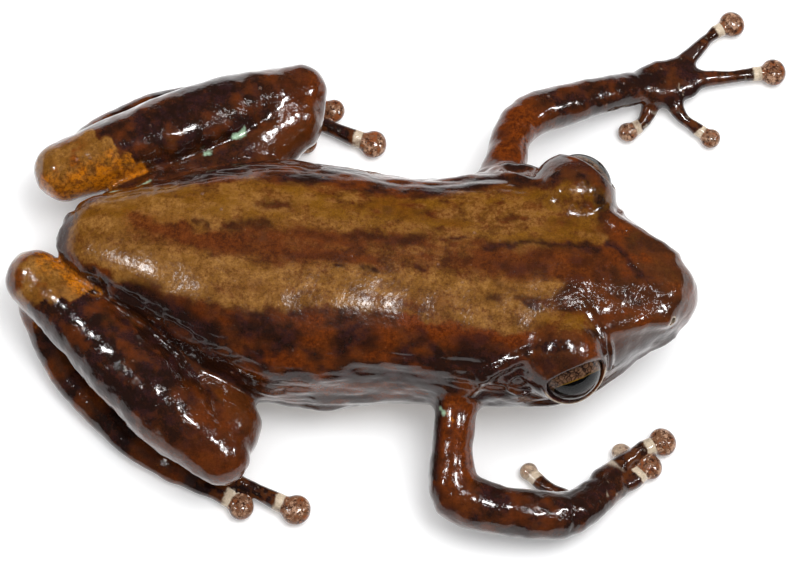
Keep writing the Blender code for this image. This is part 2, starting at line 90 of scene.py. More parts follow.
# Limbs: x, y and z of each station, then half its width and half its height
ARM_LEFT = (
    (4.6, 3.0, 3.6, 1.10, 1.15),
    (5.0, 5.4, 3.15, 0.86, 0.88),
    (5.22, 7.0, 2.70, 0.82, 0.84),
    (5.82, 8.05, 2.42, 0.88, 0.86),
    (7.4, 8.98, 2.0, 0.88, 0.84),
    (9.2, 9.92, 1.5, 0.76, 0.72),
    (10.3, 10.5, 1.05, 0.74, 0.58),
    (11.3, 10.95, 0.78, 1.04, 0.52),
    (12.3, 11.30, 0.58, 0.88, 0.40),
)
ARM_RIGHT = (
    (4.0, -3.2, 3.5, 1.20, 1.25),
    (3.98, -5.9, 2.9, 0.84, 0.92),
    (4.03, -7.6, 2.35, 0.86, 0.92),
    (4.45, -8.85, 2.0, 1.10, 1.02),
    (6.2, -9.18, 1.85, 1.02, 0.98),
    (8.0, -9.14, 1.6, 1.00, 0.92),
    (9.15, -8.80, 1.3, 0.88, 0.78),
    (9.95, -7.98, 1.05, 0.76, 0.60),
    (10.55, -7.25, 0.82, 0.66, 0.46),
)
SHANK_LEFT = (
    (-13.1, 3.25, 3.0, 1.28, 1.18),
    (-10.9, 4.35, 3.2, 1.42, 1.38),
    (-8.5, 5.66, 3.2, 1.58, 1.52),
    (-6.1, 6.88, 3.0, 1.46, 1.42),
    (-3.75, 7.92, 2.8, 1.16, 1.14),
)
SHANK_RIGHT = (
    (-13.68, -1.62, 2.9, 1.24, 1.16),
    (-11.6, -3.25, 3.1, 1.50, 1.42),
    (-9.4, -5.10, 3.1, 1.76, 1.58),
    (-7.4, -6.85, 2.9, 1.62, 1.48),
    (-5.35, -8.35, 2.6, 1.24, 1.18),
)
CALF_LEFT = (
    (-11.3, 3.85, 3.45, 0.75, 0.75),
    (-8.7, 5.00, 3.72, 0.95, 0.92),
    (-6.4, 6.10, 3.55, 0.85, 0.80),
)
THIGH_LEFT = (
    (-11.0, 0.8, 2.9, 1.20, 1.30),
    (-9.3, 2.6, 2.4, 1.50, 1.55),
    (-6.6, 4.4, 2.2, 1.60, 1.65),
    (-3.85, 6.62, 2.6, 1.20, 1.24),
)
THIGH_RIGHT = (
    (-11.2, -1.0, 2.9, 1.20, 1.30),
    (-9.6, -2.5, 2.4, 1.50, 1.55),
    (-7.6, -4.5, 2.1, 1.60, 1.60),
    (-5.15, -6.95, 2.25, 1.32, 1.32),
)
FOOT_LEFT = (
    (-13.0, 3.9, 1.9, 0.80, 0.75),
    (-12.0, 5.75, 0.95, 0.74, 0.70),
    (-10.0, 7.35, 0.68, 0.68, 0.62),
    (-8.0, 7.95, 0.55, 0.82, 0.48),
    (-6.2, 8.1, 0.50, 0.92, 0.42),
)
FOOT_RIGHT = (
    (-13.5, -2.3, 1.8, 0.82, 0.76),
    (-12.4, -4.3, 0.95, 0.74, 0.70),
    (-10.55, -6.25, 0.68, 0.68, 0.62),
    (-8.7, -7.40, 0.55, 0.82, 0.48),
    (-7.1, -8.00, 0.50, 0.88, 0.42),
)

# Digits: the places that each one runs through, the last being the middle of its disc, then the
# shaft's thinnest radius and the disc's radius
FINGERS_LEFT = (
    (((11.1, 10.4, 0.55), (10.75, 9.3, 0.48), (10.45, 8.95, 0.40), (10.08, 8.72, 0.33)), 0.24, 0.42),
    (((11.6, 10.6, 0.55), (12.3, 9.60, 0.50), (12.99, 9.17, 0.42), (13.60, 8.82, 0.33)), 0.235, 0.44),
    (((12.2, 11.3, 0.52), (13.97, 11.60, 0.52), (15.2, 11.94, 0.45), (16.0, 12.13, 0.36)), 0.245, 0.57),
    (((11.9, 11.7, 0.52), (12.96, 13.11, 0.52), (13.45, 13.70, 0.45), (14.11, 14.17, 0.36)), 0.235, 0.56),
)
FINGERS_RIGHT = (
    (((9.6, -8.3, 0.62), (8.48, -7.75, 0.55), (7.74, -7.33, 0.42), (7.21, -6.84, 0.33)), 0.24, 0.37),
    (((10.4, -7.3, 0.55), (10.75, -6.5, 0.48), (10.85, -6.1, 0.40), (10.95, -5.61, 0.33)), 0.20, 0.40),
    (((10.3, -7.1, 0.75), (11.05, -6.22, 0.72), (11.85, -5.50, 0.60), (12.60, -5.00, 0.38)), 0.30, 0.60),
    (((10.3, -7.7, 0.72), (10.95, -7.35, 0.66), (11.50, -6.90, 0.58), (12.12, -6.13, 0.36)), 0.29, 0.57),
)
TOES_LEFT = (
    (((-7.2, 7.6, 0.45), (-6.3, 6.8, 0.40), (-5.8, 6.5, 0.36), (-5.2, 6.2, 0.33)), 0.22, 0.40),
    (((-6.8, 7.7, 0.45), (-5.5, 7.0, 0.40), (-4.9, 6.75, 0.36), (-4.3, 6.55, 0.33)), 0.23, 0.43),
    (((-6.4, 7.9, 0.45), (-4.7, 7.35, 0.40), (-4.0, 7.0, 0.36), (-3.3, 6.75, 0.33)), 0.25, 0.48),
    (((-6.3, 8.1, 0.45), (-3.6, 7.9, 0.46), (-1.35, 7.17, 0.42), (-0.50, 7.00, 0.36)), 0.29, 0.60),
    (((-6.4, 8.4, 0.45), (-4.4, 8.65, 0.44), (-3.1, 8.50, 0.40), (-2.32, 8.33, 0.34)), 0.26, 0.51),
)
TOES_RIGHT = (
    (((-8.2, -7.1, 0.45), (-7.5, -6.3, 0.40), (-7.15, -5.95, 0.36), (-6.8, -5.6, 0.33)), 0.22, 0.40),
    (((-7.8, -7.3, 0.45), (-6.9, -6.6, 0.40), (-6.4, -6.4, 0.36), (-5.9, -6.2, 0.33)), 0.23, 0.43),
    (((-7.3, -7.8, 0.45), (-6.2, -7.4, 0.40), (-5.7, -7.3, 0.36), (-5.1, -7.2, 0.33)), 0.25, 0.48),
    (((-7.2, -8.0, 0.45), (-4.6, -8.65, 0.50), (-2.97, -9.27, 0.45), (-2.10, -9.55, 0.39)), 0.30, 0.65),
    (((-7.3, -8.3, 0.45), (-5.95, -9.02, 0.46), (-5.05, -9.30, 0.42), (-4.33, -9.66, 0.36)), 0.28, 0.55),
)

# The eyes and what lies round them
EYE_LEFT = (8.04, 3.84, 5.20)
EYE_RIGHT = (8.25, -3.93, 5.20)
EYE_RADIUS = 1.40
EYE_TURN = math.radians(30)
EYE_LIFT = math.radians(29)
LID_RADII = (1.72, 1.62, 1.66)
LID_SHIFT = (-0.15, -0.47, 0.14)
LID_OPENING = (1.32, 1.19)
LID_DROOP = 0.79
LID_RIM = 0.10
LID_RIM_STEPS = 24
LID_THICKNESS = 0.11
LID_GAP = 0.015
LID_REAR_LEFT = ((-0.66, 0.16, -0.05), 1.13)
LID_REAR_RIGHT = ((-0.85, -0.10, -0.10), 1.05)
RIM_INSET = 0.02
RIM_LIFT = 0.06
NOSTRIL = (12.15, 1.30, 5.12)
NOSTRIL_HOLE = (0.12, 0.28, 0.2)

# Lines over the head: x and the angle up from the widest level, then a size where it changes
CANTHUS = ((9.4, 58), (10.3, 57), (11.2, 55), (12.0, 50))
EAR_FOLD = ((7.0, 47, 0.22), (6.3, 43, 0.26), (5.5, 36, 0.26), (4.9, 26, 0.22), (4.5, 14, 0.16))
EYE_FURROW = ((9.6, 62), (9.8, 50), (9.9, 38), (9.95, 24))
EAR = (6.45, 22)
EAR_RADIUS = 0.55
EAR_RIM = 0.05
MOUTH_CORNER_X = 6.9
MOUTH_FRONT_X = 13.2
MOUTH_ANGLE = -12
LIP_FRONT_X = 12.5
LIP_ANGLE = -3
LIP_SIZES = (0.14, 0.18, 0.18, 0.17, 0.14, 0.11, 0.07, 0.05, 0.03)

# Folds by places or by stations like those of the limbs, and pads by their middle and radii
RIGHT_EYE_FOLDS = (
    ((8.94, -2.01, 6.45), (9.5, -2.86, 6.30), (9.73, -3.54, 6.02)),
    ((9.75, -2.85, 5.95), (9.95, -3.35, 5.55), (9.95, -3.75, 4.9)),
)
SHOULDER_PAD = ((6.0, 3.95, 4.3), (1.15, 0.95, 0.8))
KNEE_PAD = ((-3.9, 8.25, 3.1), (0.75, 0.62, 0.6))
SHOULDER_FOLD = (
    (4.2, 3.9, 4.6, 0.35, 0.3),
    (5.2, 4.6, 4.5, 0.35, 0.3),
    (6.4, 4.45, 4.6, 0.3, 0.28),
)
WRIST_CREASE = (
    (8.98, -8.35, 2.12, 0.05, 0.05),
    (9.12, -9.0, 2.14, 0.06, 0.06),
    (9.15, -9.71, 1.75, 0.05, 0.05),
)


class Flesh:
    """Forms joined and carved one after another, each time with some softness."""

    def __init__(self):
        self.steps = []

    def join(self, form, softness):
        self.steps.append((form, softness, 1))

    def carve(self, form, softness):
        self.steps.append((form, softness, -1))

    def distance(self, places):
        """Distance to the skin at each place, negative inside the body."""
        depth = np.full(len(places[0]), FAR)
        for form, softness, sign in self.steps:
            low, high = form.box()
            near = np.ones(len(depth), bool)
            for place, a, b in zip(places, low, high):
                near &= (place > a - FAR) & (place < b + FAR)
            here = [place[near] for place in places]
            soft = softness(here) if callable(softness) else softness
            depth[near] = sign * soft_least(sign * depth[near], form.distance(here), soft)
        return np.maximum(depth, -places[2])

    def block(self):
        """The same distances, over a block of cells."""
        axes = [np.arange(low, high, CELL) for low, high in zip(BLOCK_LOW, BLOCK_HIGH)]
        depth = np.full([len(axis) for axis in axes], FAR)
        for form, softness, sign in self.steps:
            cuts = []
            for axis, a, b in zip(axes, *form.box()):
                first, last = np.searchsorted(axis, (a - FAR, b + FAR))
                cuts.append(slice(int(first), max(int(last), int(first) + 1)))
            cells = tuple(cuts)
            here = np.meshgrid(*(axis[cut] for axis, cut in zip(axes, cuts)), indexing="ij")
            soft = softness(here) if callable(softness) else softness
            depth[cells] = sign * soft_least(sign * depth[cells], form.distance(here), soft)
        return np.maximum(depth, -axes[2][None, None, :]), axes

    def surface(self):
        depth, axes = self.block()
        grid = openvdb.FloatGrid(FAR)
        grid.copyFromArray(np.clip(depth, -FAR, FAR).astype(np.float32), tolerance=0.0)
        points, quads = grid.convertToQuads(isovalue=0.0)
        return points * CELL + np.array([axis[0] for axis in axes]), quads

    def settle(self, points, rounds=2):
        """Points moved onto the skin along its slope."""
        h = 0.02
        for _ in range(rounds):
            reach = self.distance(points.T)
            slope = np.zeros_like(points)
            for axis in range(3):
                shift = np.zeros(3)
                shift[axis] = h
                rise = self.distance((points + shift).T) - self.distance((points - shift).T)
                slope[:, axis] = rise / (2 * h)
            steep = np.maximum((slope ** 2).sum(1), 0.2)
            points = points - slope * np.clip(reach / steep, -0.12, 0.12)[:, None]
        return points


def soft_least(a, b, soft):
    """The lesser of two distances, rounded where they are alike."""
    mix = np.clip(0.5 + 0.5 * (a - b) / soft, 0.0, 1.0)
    return a + (b - a) * mix - soft * mix * (1.0 - mix)


def step(value, low, high):
    """0 below low and 1 above high, with a smooth rise between."""
    t = np.clip((value - low) / (high - low), 0.0, 1.0)
    return t * t * (3.0 - 2.0 * t)


def smooth_path(stations, spacing=0.45):
    """Stations joined by a smooth curve, read about every spacing."""
    rows = np.array(stations, float)
    ends = np.vstack([2 * rows[0] - rows[1], rows, 2 * rows[-1] - rows[-2]])
    path = []
    for i in range(1, len(ends) - 2):
        before, here, after, beyond = ends[i - 1: i + 3]
        count = max(2, int(np.linalg.norm(after[:3] - here[:3]) / spacing))
        for k in range(count):
            t = k / count
            bend = 2 * before - 5 * here + 4 * after - beyond
            twist = 3 * here - before - 3 * after + beyond
            path.append(here + 0.5 * t * ((after - before) + t * (bend + t * twist)))
    return np.array([*path, rows[-1]])


class Chain:
    """A limb or a ridge: ellipses strung along a smooth path."""

    def __init__(self, stations, spacing=0.45):
        self.path = smooth_path(stations, spacing)
        steps = np.linalg.norm(np.diff(self.path[:, :3], axis=0), axis=1)
        self.along = np.concatenate([[0.0], np.cumsum(steps)]) / steps.sum()

    def box(self):
        wide = self.path[:, 3:].max()
        return self.path[:, :3].min(0) - wide, self.path[:, :3].max(0) + wide

    def distance(self, places):
        return self.read(places)[0]

    def read(self, places):
        """Distance to the chain, the share of its length, and how far up and aside a place is."""
        x, y, z = places
        best = np.full(np.shape(x), np.inf, np.float32)
        share = np.zeros(np.shape(x), np.float32)
        upward = np.zeros(np.shape(x), np.float32)
        aside_share = np.zeros(np.shape(x), np.float32)
        for i in range(len(self.path) - 1):
            start, end = self.path[i], self.path[i + 1]
            run = end[:3] - start[:3]
            length = np.linalg.norm(run)
            forward = run / length
            aside = np.cross(forward, (0, 0, 1))
            aside /= np.linalg.norm(aside)
            over = np.cross(aside, forward)
            dx, dy, dz = x - start[0], y - start[1], z - start[2]
            t = np.clip((dx * forward[0] + dy * forward[1] + dz * forward[2]) / length, 0, 1)
            dx, dy, dz = dx - t * run[0], dy - t * run[1], dz - t * run[2]
            width = start[3] + t * (end[3] - start[3])
            height = start[4] + t * (end[4] - start[4])
            side = dx * aside[0] + dy * aside[1] + dz * aside[2]
            up = dx * over[0] + dy * over[1] + dz * over[2]
            beyond = dx * forward[0] + dy * forward[1] + dz * forward[2]
            size = np.sqrt((side / width) ** 2 + (up / height) ** 2 + (2 * beyond / (width + height)) ** 2)
            far = np.sqrt(dx * dx + dy * dy + dz * dz)
            reach = np.where(size > 1e-3, (size - 1) * far / np.maximum(size, 1e-3), -height)
            nearer = reach < best
            best = np.where(nearer, reach, best)
            share = np.where(nearer, self.along[i] + t * (self.along[i + 1] - self.along[i]), share)
            upward = np.where(nearer, up / height, upward)
            aside_share = np.where(nearer, side / width, aside_share)
        return best, share, upward, aside_share


class Ball:
    """An ellipsoid whose axes are the rows of turn."""

    def __init__(self, centre, radii, turn=None):
        self.centre = np.array(centre, float)
        self.radii = np.array(radii, float)
        self.turn = np.eye(3) if turn is None else turn

    def box(self):
        wide = self.radii.max()
        return self.centre - wide, self.centre + wide

    def distance(self, places):
        gaps = [place - middle for place, middle in zip(places, self.centre)]
        far = np.sqrt(sum(gap * gap for gap in gaps))
        size = np.zeros_like(far)
        for axis, radius in zip(self.turn, self.radii):
            size = size + ((gaps[0] * axis[0] + gaps[1] * axis[1] + gaps[2] * axis[2]) / radius) ** 2
        size = np.sqrt(size)
        return np.where(size > 1e-3, (size - 1) * far / np.maximum(size, 1e-3), -self.radii.min())


class Trunk:
    """The head and torso: superellipses along the body, with round ends."""

    def __init__(self):
        rows = np.array(TRUNK)
        spread = int(3 * TRUNK_SOFTNESS / TRUNK_SPACING)
        self.x = np.arange(rows[0, 0] - 0.5, rows[-1, 0] + 0.5, TRUNK_SPACING)
        bell = np.exp(-0.5 * (np.arange(-spread, spread + 1) * TRUNK_SPACING / TRUNK_SOFTNESS) ** 2)
        bell /= bell.sum()
        self.columns = []
        for column in rows[:, 1:].T:
            padded = np.pad(np.interp(self.x, rows[:, 0], column), spread, mode="edge")
            self.columns.append(np.convolve(padded, bell, "valid"))
        tail = np.clip((self.x - rows[0, 0]) / TAIL_ROUND, 0, 1)
        snout = np.clip((rows[-1, 0] - self.x) / SNOUT_ROUND, 0, 1)
        ends = np.sqrt(tail * (2 - tail)) * np.sqrt(snout * (2 - snout))
        ends = np.maximum(ends, 1e-3)
        self.columns[0] = self.columns[0] * ends
        for i in (1, 3):
            self.columns[i] = self.columns[2] + (self.columns[i] - self.columns[2]) * ends

    def section(self, x):
        return [np.interp(x, self.x, column) for column in self.columns]

    def box(self):
        return np.array([TRUNK[0][0], -6.2, -0.5]), np.array([TRUNK[-1][0], 5.2, 7.0])

    def shares(self, places):
        """How far across and up each place is as shares of the way to the skin, and in full."""
        x, y, z = places
        wide, back, level, belly, shift = self.section(x)
        aside, rise = y - shift, z - level
        across = np.abs(aside) / wide
        up = np.abs(rise) / np.where(rise > 0, back - level, level - belly)
        return across, up, aside, rise

    def size(self, places):
        """How far out each place is as a share of the way to the skin, and as a length."""
        across, up, aside, rise = self.shares(places)
        rump = 1 - step(places[0], RUMP_X - 1, RUMP_X + 1)
        power = np.where(rise > 0, BACK_POWER, BELLY_POWER + (RUMP_POWER - BELLY_POWER) * rump)
        size = np.maximum(across ** power + up ** power, 1e-8) ** (1 / power)
        return size, np.sqrt(aside ** 2 + rise ** 2)

    def distance(self, places):
        x, y, z = places
        size, far = self.size(places)
        reach = (size - 1) * far / np.maximum(size, 0.05)
        ahead, behind = (self.size((x + h, y, z))[0] for h in (0.06, -0.06))
        slope = far * (1 / np.maximum(ahead, 0.05) - 1 / np.maximum(behind, 0.05)) / 0.12
        reach = np.clip(reach / np.sqrt(1 + np.clip(slope, -6, 6) ** 2), -4, 4)
        return np.maximum(reach, np.maximum(TRUNK[0][0] - x, x - TRUNK[-1][0]))

    def angle(self, places):
        """Degrees up from the level of the widest part."""
        across, up, aside, rise = self.shares(places)
        return np.degrees(np.arctan2(up ** 1.12, across ** 1.12)) * np.where(rise > 0, 1, -1)

    def point(self, x, degrees, side=1):
        """The place on the skin at x, at an angle up from the level of the widest part."""
        wide, back, level, belly, shift = self.section(x)
        turn = math.radians(degrees)
        power = BACK_POWER if turn > 0 else BELLY_POWER
        across = wide * math.cos(turn) ** (2 / power)
        reach = back - level if turn > 0 else belly - level
        rise = abs(math.sin(turn)) ** (2 / power) * reach
        return np.array([x, shift + side * across, level + rise])


def place_in_scene(name, data):
    """A new object made of data, in the scene."""
    piece = bpy.data.objects.new(name, data)
    bpy.context.scene.collection.objects.link(piece)
    return piece


def unit(vector):
    vector = np.array(vector, float)
    return vector / np.linalg.norm(vector)


def eye_axes(side):
    """The middle of an eye, then its own axes: forward along the slit, up, and out as it looks."""
    centre = np.array(EYE_LEFT if side > 0 else EYE_RIGHT)
    look = unit((
        math.sin(EYE_TURN) * math.cos(EYE_LIFT),
        side * math.cos(EYE_TURN) * math.cos(EYE_LIFT),
        math.sin(EYE_LIFT),
    ))
    forward = unit(np.cross((0, 0, 1), look) * -side)
    up = unit(np.cross(look, forward) * -side)
    if up[2] < 0:
        up = -up
    return centre, forward, up, look


def lid_oval(ahead, above):
    """1 on the edge of the opening between the lids, less inside it; the upper lid droops."""
    height = np.where(above > 0, LID_DROOP, 1) * LID_OPENING[1]
    return np.hypot(ahead / LID_OPENING[0], above / height)


class Opening:
    """The oval hole between the lids."""

    def __init__(self, side):
        self.centre, self.forward, self.up, self.look = eye_axes(side)

    def box(self):
        middle = self.centre + self.look * 1.3
        return middle - 1.6, middle + 1.6

    def distance(self, places):
        gaps = [place - middle for place, middle in zip(places, self.centre)]
        ahead, above, out = (
            sum(gap * share for gap, share in zip(gaps, axis))
            for axis in (self.forward, self.up, self.look)
        )
        flare = 1 + 0.20 * np.maximum(out - 0.75, 0)
        oval = lid_oval(ahead, above) / flare - 1
        return np.maximum(oval * LID_OPENING[1], 0.25 - out)


def lid_rim(side):
    """The thick edge of the lids, as a chain round the opening."""
    centre, forward, up, look = eye_axes(side)
    stations = []
    for i in range(LID_RIM_STEPS + 1):
        turn = 2 * math.pi * i / LID_RIM_STEPS
        ahead = math.cos(turn) * (LID_OPENING[0] - RIM_INSET)
        above = math.sin(turn) * (LID_OPENING[1] - RIM_INSET) * (LID_DROOP if i < LID_RIM_STEPS / 2 else 1)
        out = math.sqrt((EYE_RADIUS + RIM_LIFT) ** 2 - ahead ** 2 - above ** 2)
        thick = LID_RIM * (1.15 if above > 0 else 0.75)
        stations.append((*(centre + forward * ahead + up * above + look * out), thick, thick))
    return Chain(stations, 0.2)


def digit_chain(places, shaft):
    root, knuckle, neck, tip = (np.array(place) for place in places)
    middle = (knuckle + neck) / 2
    return Chain((
        (*root, shaft * 1.9, shaft * 1.5),
        (*knuckle, shaft * 1.15, shaft * 1.1),
        (*middle, shaft, shaft),
        (*neck, shaft * 1.25, shaft * 1.15),
        (*tip, shaft * 1.2, shaft),
    ), 0.3)


def disc_ball(places, disc):
    """The flat round disc at the end of a digit."""
    neck, tip = np.array(places[-2]), np.array(places[-1])
    ahead = unit((tip - neck) * (1, 1, 0))
    aside = np.cross((0, 0, 1), ahead)
    return Ball(tip, (disc * 0.92, disc, disc * 0.64), np.array([ahead, aside, (0, 0, 1)]))


LIMBS = {
    "arm_left": (Chain(ARM_LEFT), FINGERS_LEFT),
    "arm_right": (Chain(ARM_RIGHT), FINGERS_RIGHT),
    "thigh_left": (Chain(THIGH_LEFT), ()),
    "thigh_right": (Chain(THIGH_RIGHT), ()),
    "shank_left": (Chain(SHANK_LEFT), ()),
    "shank_right": (Chain(SHANK_RIGHT), ()),
    "foot_left": (Chain(FOOT_LEFT), TOES_LEFT),
    "foot_right": (Chain(FOOT_RIGHT), TOES_RIGHT),
}
BODY = Trunk()


def soft_near(place, near, away, reach):
    """Softness that rises from away to near round one place, such as a knee."""
    middle = np.array(place[:3])

    def softness(places):
        gap = np.sqrt(sum((p - m) ** 2 for p, m in zip(places, middle)))
        return (away + (near - away) * (1 - step(gap, 0.4 * reach, reach))).astype(np.float32)

    return softness


def mirrored(place, side):
    """A place on the left, or its mirror image on the right."""
    return np.array((place[0], side * place[1], place[2]))


def nostril_hole(side):
    return mirrored(np.add(NOSTRIL, NOSTRIL_HOLE), side)


def add_lid_swell(flesh, side):
    """The swollen skin over and behind an eye."""
    centre, _, up, _ = eye_axes(side)
    flesh.join(Ball(centre + mirrored(LID_SHIFT, side), LID_RADII), 0.45)
    flesh.join(Ball(centre - 0.05 * up, (EYE_RADIUS + LID_THICKNESS,) * 3), 0.30)
    behind, size = LID_REAR_LEFT if side > 0 else LID_REAR_RIGHT
    flesh.join(Ball(centre + behind, (size,) * 3), 0.40)


def add_canthus(flesh, side):
    """The blunt ridge from the eye to the nostril."""
    ridge = [(*BODY.point(x, angle, side) - (0, 0, 0.18), 0.30, 0.26) for x, angle in CANTHUS]
    flesh.join(Chain(ridge), 0.5)


def add_ear(flesh, side):
    """The ring of the eardrum, under a fold of skin."""
    fold = [(*BODY.point(x, angle, side), size, size) for x, angle, size in EAR_FOLD]
    flesh.join(Chain(fold), 0.28)
    x, angle = EAR
    ear = BODY.point(x, angle, side)
    ahead = unit(BODY.point(x + 0.4, angle, side) - ear)
    above = unit(BODY.point(x, angle + 8, side) - ear)
    ring = [(*(ear + EAR_RADIUS * (ahead * math.cos(turn) + above * math.sin(turn))), EAR_RIM, EAR_RIM)
            for turn in np.linspace(0, 2 * math.pi, 17)]
    flesh.join(Chain(ring, 0.2), 0.12)


def add_nostril(flesh, side):
    flesh.join(Ball(mirrored(NOSTRIL, side), (0.36, 0.34, 0.34)), 0.22)
    flesh.carve(Ball(nostril_hole(side), (0.17, 0.14, 0.20)), 0.06)


def add_lip(flesh, side):
    places = np.linspace(MOUTH_CORNER_X, LIP_FRONT_X, len(LIP_SIZES))
    lip = [(*BODY.point(x, LIP_ANGLE, side) - (0, side * 0.12, 0), size, size * 1.2)
           for x, size in zip(places, LIP_SIZES)]
    flesh.join(Chain(lip), 0.35)


def add_eye_furrow(flesh, side):
    """The low ridge of skin in front of the eye."""
    furrow = [(*(BODY.point(x, angle, side) - (0, 0, 0.05)), 0.10, 0.10) for x, angle in EYE_FURROW]
    flesh.join(Chain(furrow, 0.25), 0.18)


def add_head_forms(flesh):
    for side in (1, -1):
        for add_form in (add_lid_swell, add_canthus, add_ear, add_nostril, add_lip, add_eye_furrow):
            add_form(flesh, side)
    for places in RIGHT_EYE_FOLDS:
        flesh.join(Chain([(*place, 0.09, 0.09) for place in places], 0.25), 0.16)
    ahead = np.linspace(MOUTH_CORNER_X, MOUTH_FRONT_X, 14)
    line = [BODY.point(x, MOUTH_ANGLE, 1) for x in ahead]
    line += [BODY.point(x, MOUTH_ANGLE, -1) for x in ahead[::-1]]
    flesh.carve(Chain([(*place, 0.09, 0.07) for place in line], 0.3), 0.10)


def add_shoulder_skin(flesh):
    """The loose skin between the left shoulder and the eye, pulled forward by the reaching arm."""
    flesh.join(Ball(*SHOULDER_PAD), 0.35)
    flesh.join(Chain(SHOULDER_FOLD), 0.35)


def add_eyelids(flesh):
    for side in (1, -1):
        centre = eye_axes(side)[0]
        flesh.carve(Opening(side), 0.10)
        flesh.join(lid_rim(side), 0.10)
        flesh.carve(Ball(centre, (EYE_RADIUS + LID_GAP,) * 3), 0.02)


def limb_with_digits(flesh, chain, digits, softness):
    """Joins a limb with its fingers or toes and their discs."""
    flesh.join(chain, softness)
    for places, shaft, disc in digits:
        flesh.join(digit_chain(places, shaft), 0.32)
        flesh.join(disc_ball(places, disc), 0.12)


def make_flesh():
    flesh = Flesh()
    flesh.join(BODY, 0.05)
    for side in ("left", "right"):
        flesh.join(LIMBS[f"thigh_{side}"][0], 0.7)
    add_head_forms(flesh)
    add_shoulder_skin(flesh)
    for side, thigh, shank in (("left", THIGH_LEFT, SHANK_LEFT), ("right", THIGH_RIGHT, SHANK_RIGHT)):
        limb_with_digits(flesh, *LIMBS[f"arm_{side}"], 0.55)
        flesh.join(LIMBS[f"shank_{side}"][0], soft_near(thigh[-1], 0.7, 0.12, 2.2))
        limb_with_digits(flesh, *LIMBS[f"foot_{side}"], soft_near(shank[0], 0.5, 0.08, 1.8))
    flesh.join(Chain(CALF_LEFT), 0.25)
    flesh.join(Ball(*KNEE_PAD), 0.3)
    flesh.carve(Chain(WRIST_CREASE, 0.25), 0.08)
    add_eyelids(flesh)
    return flesh


def lattice_noise(points, size, seed):
    """Smooth noise from 0 to 1 that varies over about size millimetres, or one size an axis."""
    spread = points / np.array(size) + seed * 17.31
    cell = np.floor(spread)
    part = spread - cell
    part = part * part * (3 - 2 * part)
    total = np.zeros(len(points))
    for corner in np.ndindex(2, 2, 2):
        spot = cell + corner
        mix = np.sin(spot @ (127.1, 311.7, 74.7)) * 43758.5453
        weight = np.prod(np.where(corner, part, 1 - part), axis=1)
        total += weight * (mix - np.floor(mix))
    return total


def layered_noise(points, size, seed):
    """Noise of three sizes, the first the strongest."""
    size = np.array(size, float)
    rough = lattice_noise(points, size, seed) * 0.55 + lattice_noise(points, size / 2.1, seed + 3) * 0.3
    return rough + lattice_noise(points, size / 4.3, seed + 7) * 0.15


def path_distance(points, places):
    """Distance from each point to a line through places."""
    places = np.array(places, float)
    if len(places) == 1:
        return np.linalg.norm(points - places[0], axis=1)
    best = np.full(len(points), np.inf)
    for start, end in zip(places[:-1], places[1:]):
        run = end - start
        t = np.clip((points - start) @ run / (run @ run), 0, 1)
        best = np.minimum(best, np.linalg.norm(points - start - t[:, None] * run, axis=1))
    return best


def relaxed(points, quads, rounds):
    """Points moved towards the mean of their neighbours and back, which evens the cells out."""
    ends = np.concatenate([quads[:, [0, 1]], quads[:, [1, 2]], quads[:, [2, 3]], quads[:, [3, 0]]])
    ends = np.unique(np.sort(ends, axis=1), axis=0)
    count = np.bincount(ends.ravel(), minlength=len(points))[:, None]
    for i in range(rounds * 2):
        total = np.zeros_like(points)
        for axis in range(3):
            total[:, axis] = (
                np.bincount(ends[:, 0], points[ends[:, 1], axis], len(points))
                + np.bincount(ends[:, 1], points[ends[:, 0], axis], len(points))
            )
        share = 0.5 if i % 2 == 0 else -0.52
        points = points + share * (total / np.maximum(count, 1) - points)
    return points


SETTLE_MARGIN = 0.2

# Places where the skin's cells are halved, with their radius
FINE_PLACES = (
    *((centre, 2.2) for centre in (EYE_LEFT, EYE_RIGHT)),
    *(((NOSTRIL[0], side * NOSTRIL[1], NOSTRIL[2]), 0.8) for side in (-1, 1)),
    *((digit[0][-1], 0.85) for digit in (*FINGERS_LEFT, *FINGERS_RIGHT, *TOES_LEFT, *TOES_RIGHT)),
)


def halve_fine_places(mesh):
    """Cuts the mesh's faces near FINE_PLACES in four."""
    work = bmesh.new()
    work.from_mesh(mesh)
    marked = set()
    centres = np.array([face.calc_center_median()[:] for face in work.faces]) / MM
    faces = list(work.faces)
    for place, radius in FINE_PLACES:
        for i in np.flatnonzero(np.linalg.norm(centres - place, axis=1) < radius):
            marked.update(edge.index for edge in faces[i].edges)
    work.edges.ensure_lookup_table()
    edges = [work.edges[i] for i in sorted(marked)]
    bmesh.ops.subdivide_edges(work, edges=edges, cuts=1, use_grid_fill=True)
    bmesh.ops.triangulate(work, faces=[face for face in work.faces if len(face.verts) > 4])
    work.to_mesh(mesh)
    work.free()


def mesh_from_quads(name, points, quads):
    mesh = bpy.data.meshes.new(name)
    mesh.vertices.add(len(points))
    mesh.vertices.foreach_set("co", (points * MM).astype(np.float32).ravel())
    mesh.loops.add(len(quads) * 4)
    mesh.loops.foreach_set("vertex_index", quads.astype(np.int32).ravel())
    mesh.polygons.add(len(quads))
    mesh.polygons.foreach_set("loop_start", np.arange(0, len(quads) * 4, 4, dtype=np.int32))
    mesh.update(calc_edges=True)
    mesh.validate()
    return mesh


def read_points(mesh):
    flat = np.empty(len(mesh.vertices) * 3, np.float32)
    mesh.vertices.foreach_get("co", flat)
    return flat.reshape(-1, 3).astype(float) / MM


def write_points(mesh, points):
    """Moves the mesh's points to these places in millimetres."""
    mesh.vertices.foreach_set("co", (points * MM).astype(np.float32).ravel())
    mesh.update()


def read_normals(mesh):
    flat = np.empty(len(mesh.vertices) * 3, np.float32)
    mesh.vertices.foreach_get("normal", flat)
    return flat.reshape(-1, 3).astype(float)


def save_masks(mesh, masks):
    for name, values in masks.items():
        layer = mesh.attributes.new(name, "FLOAT", "POINT")
        layer.data.foreach_set("value", np.clip(values, 0, 1).astype(np.float32))


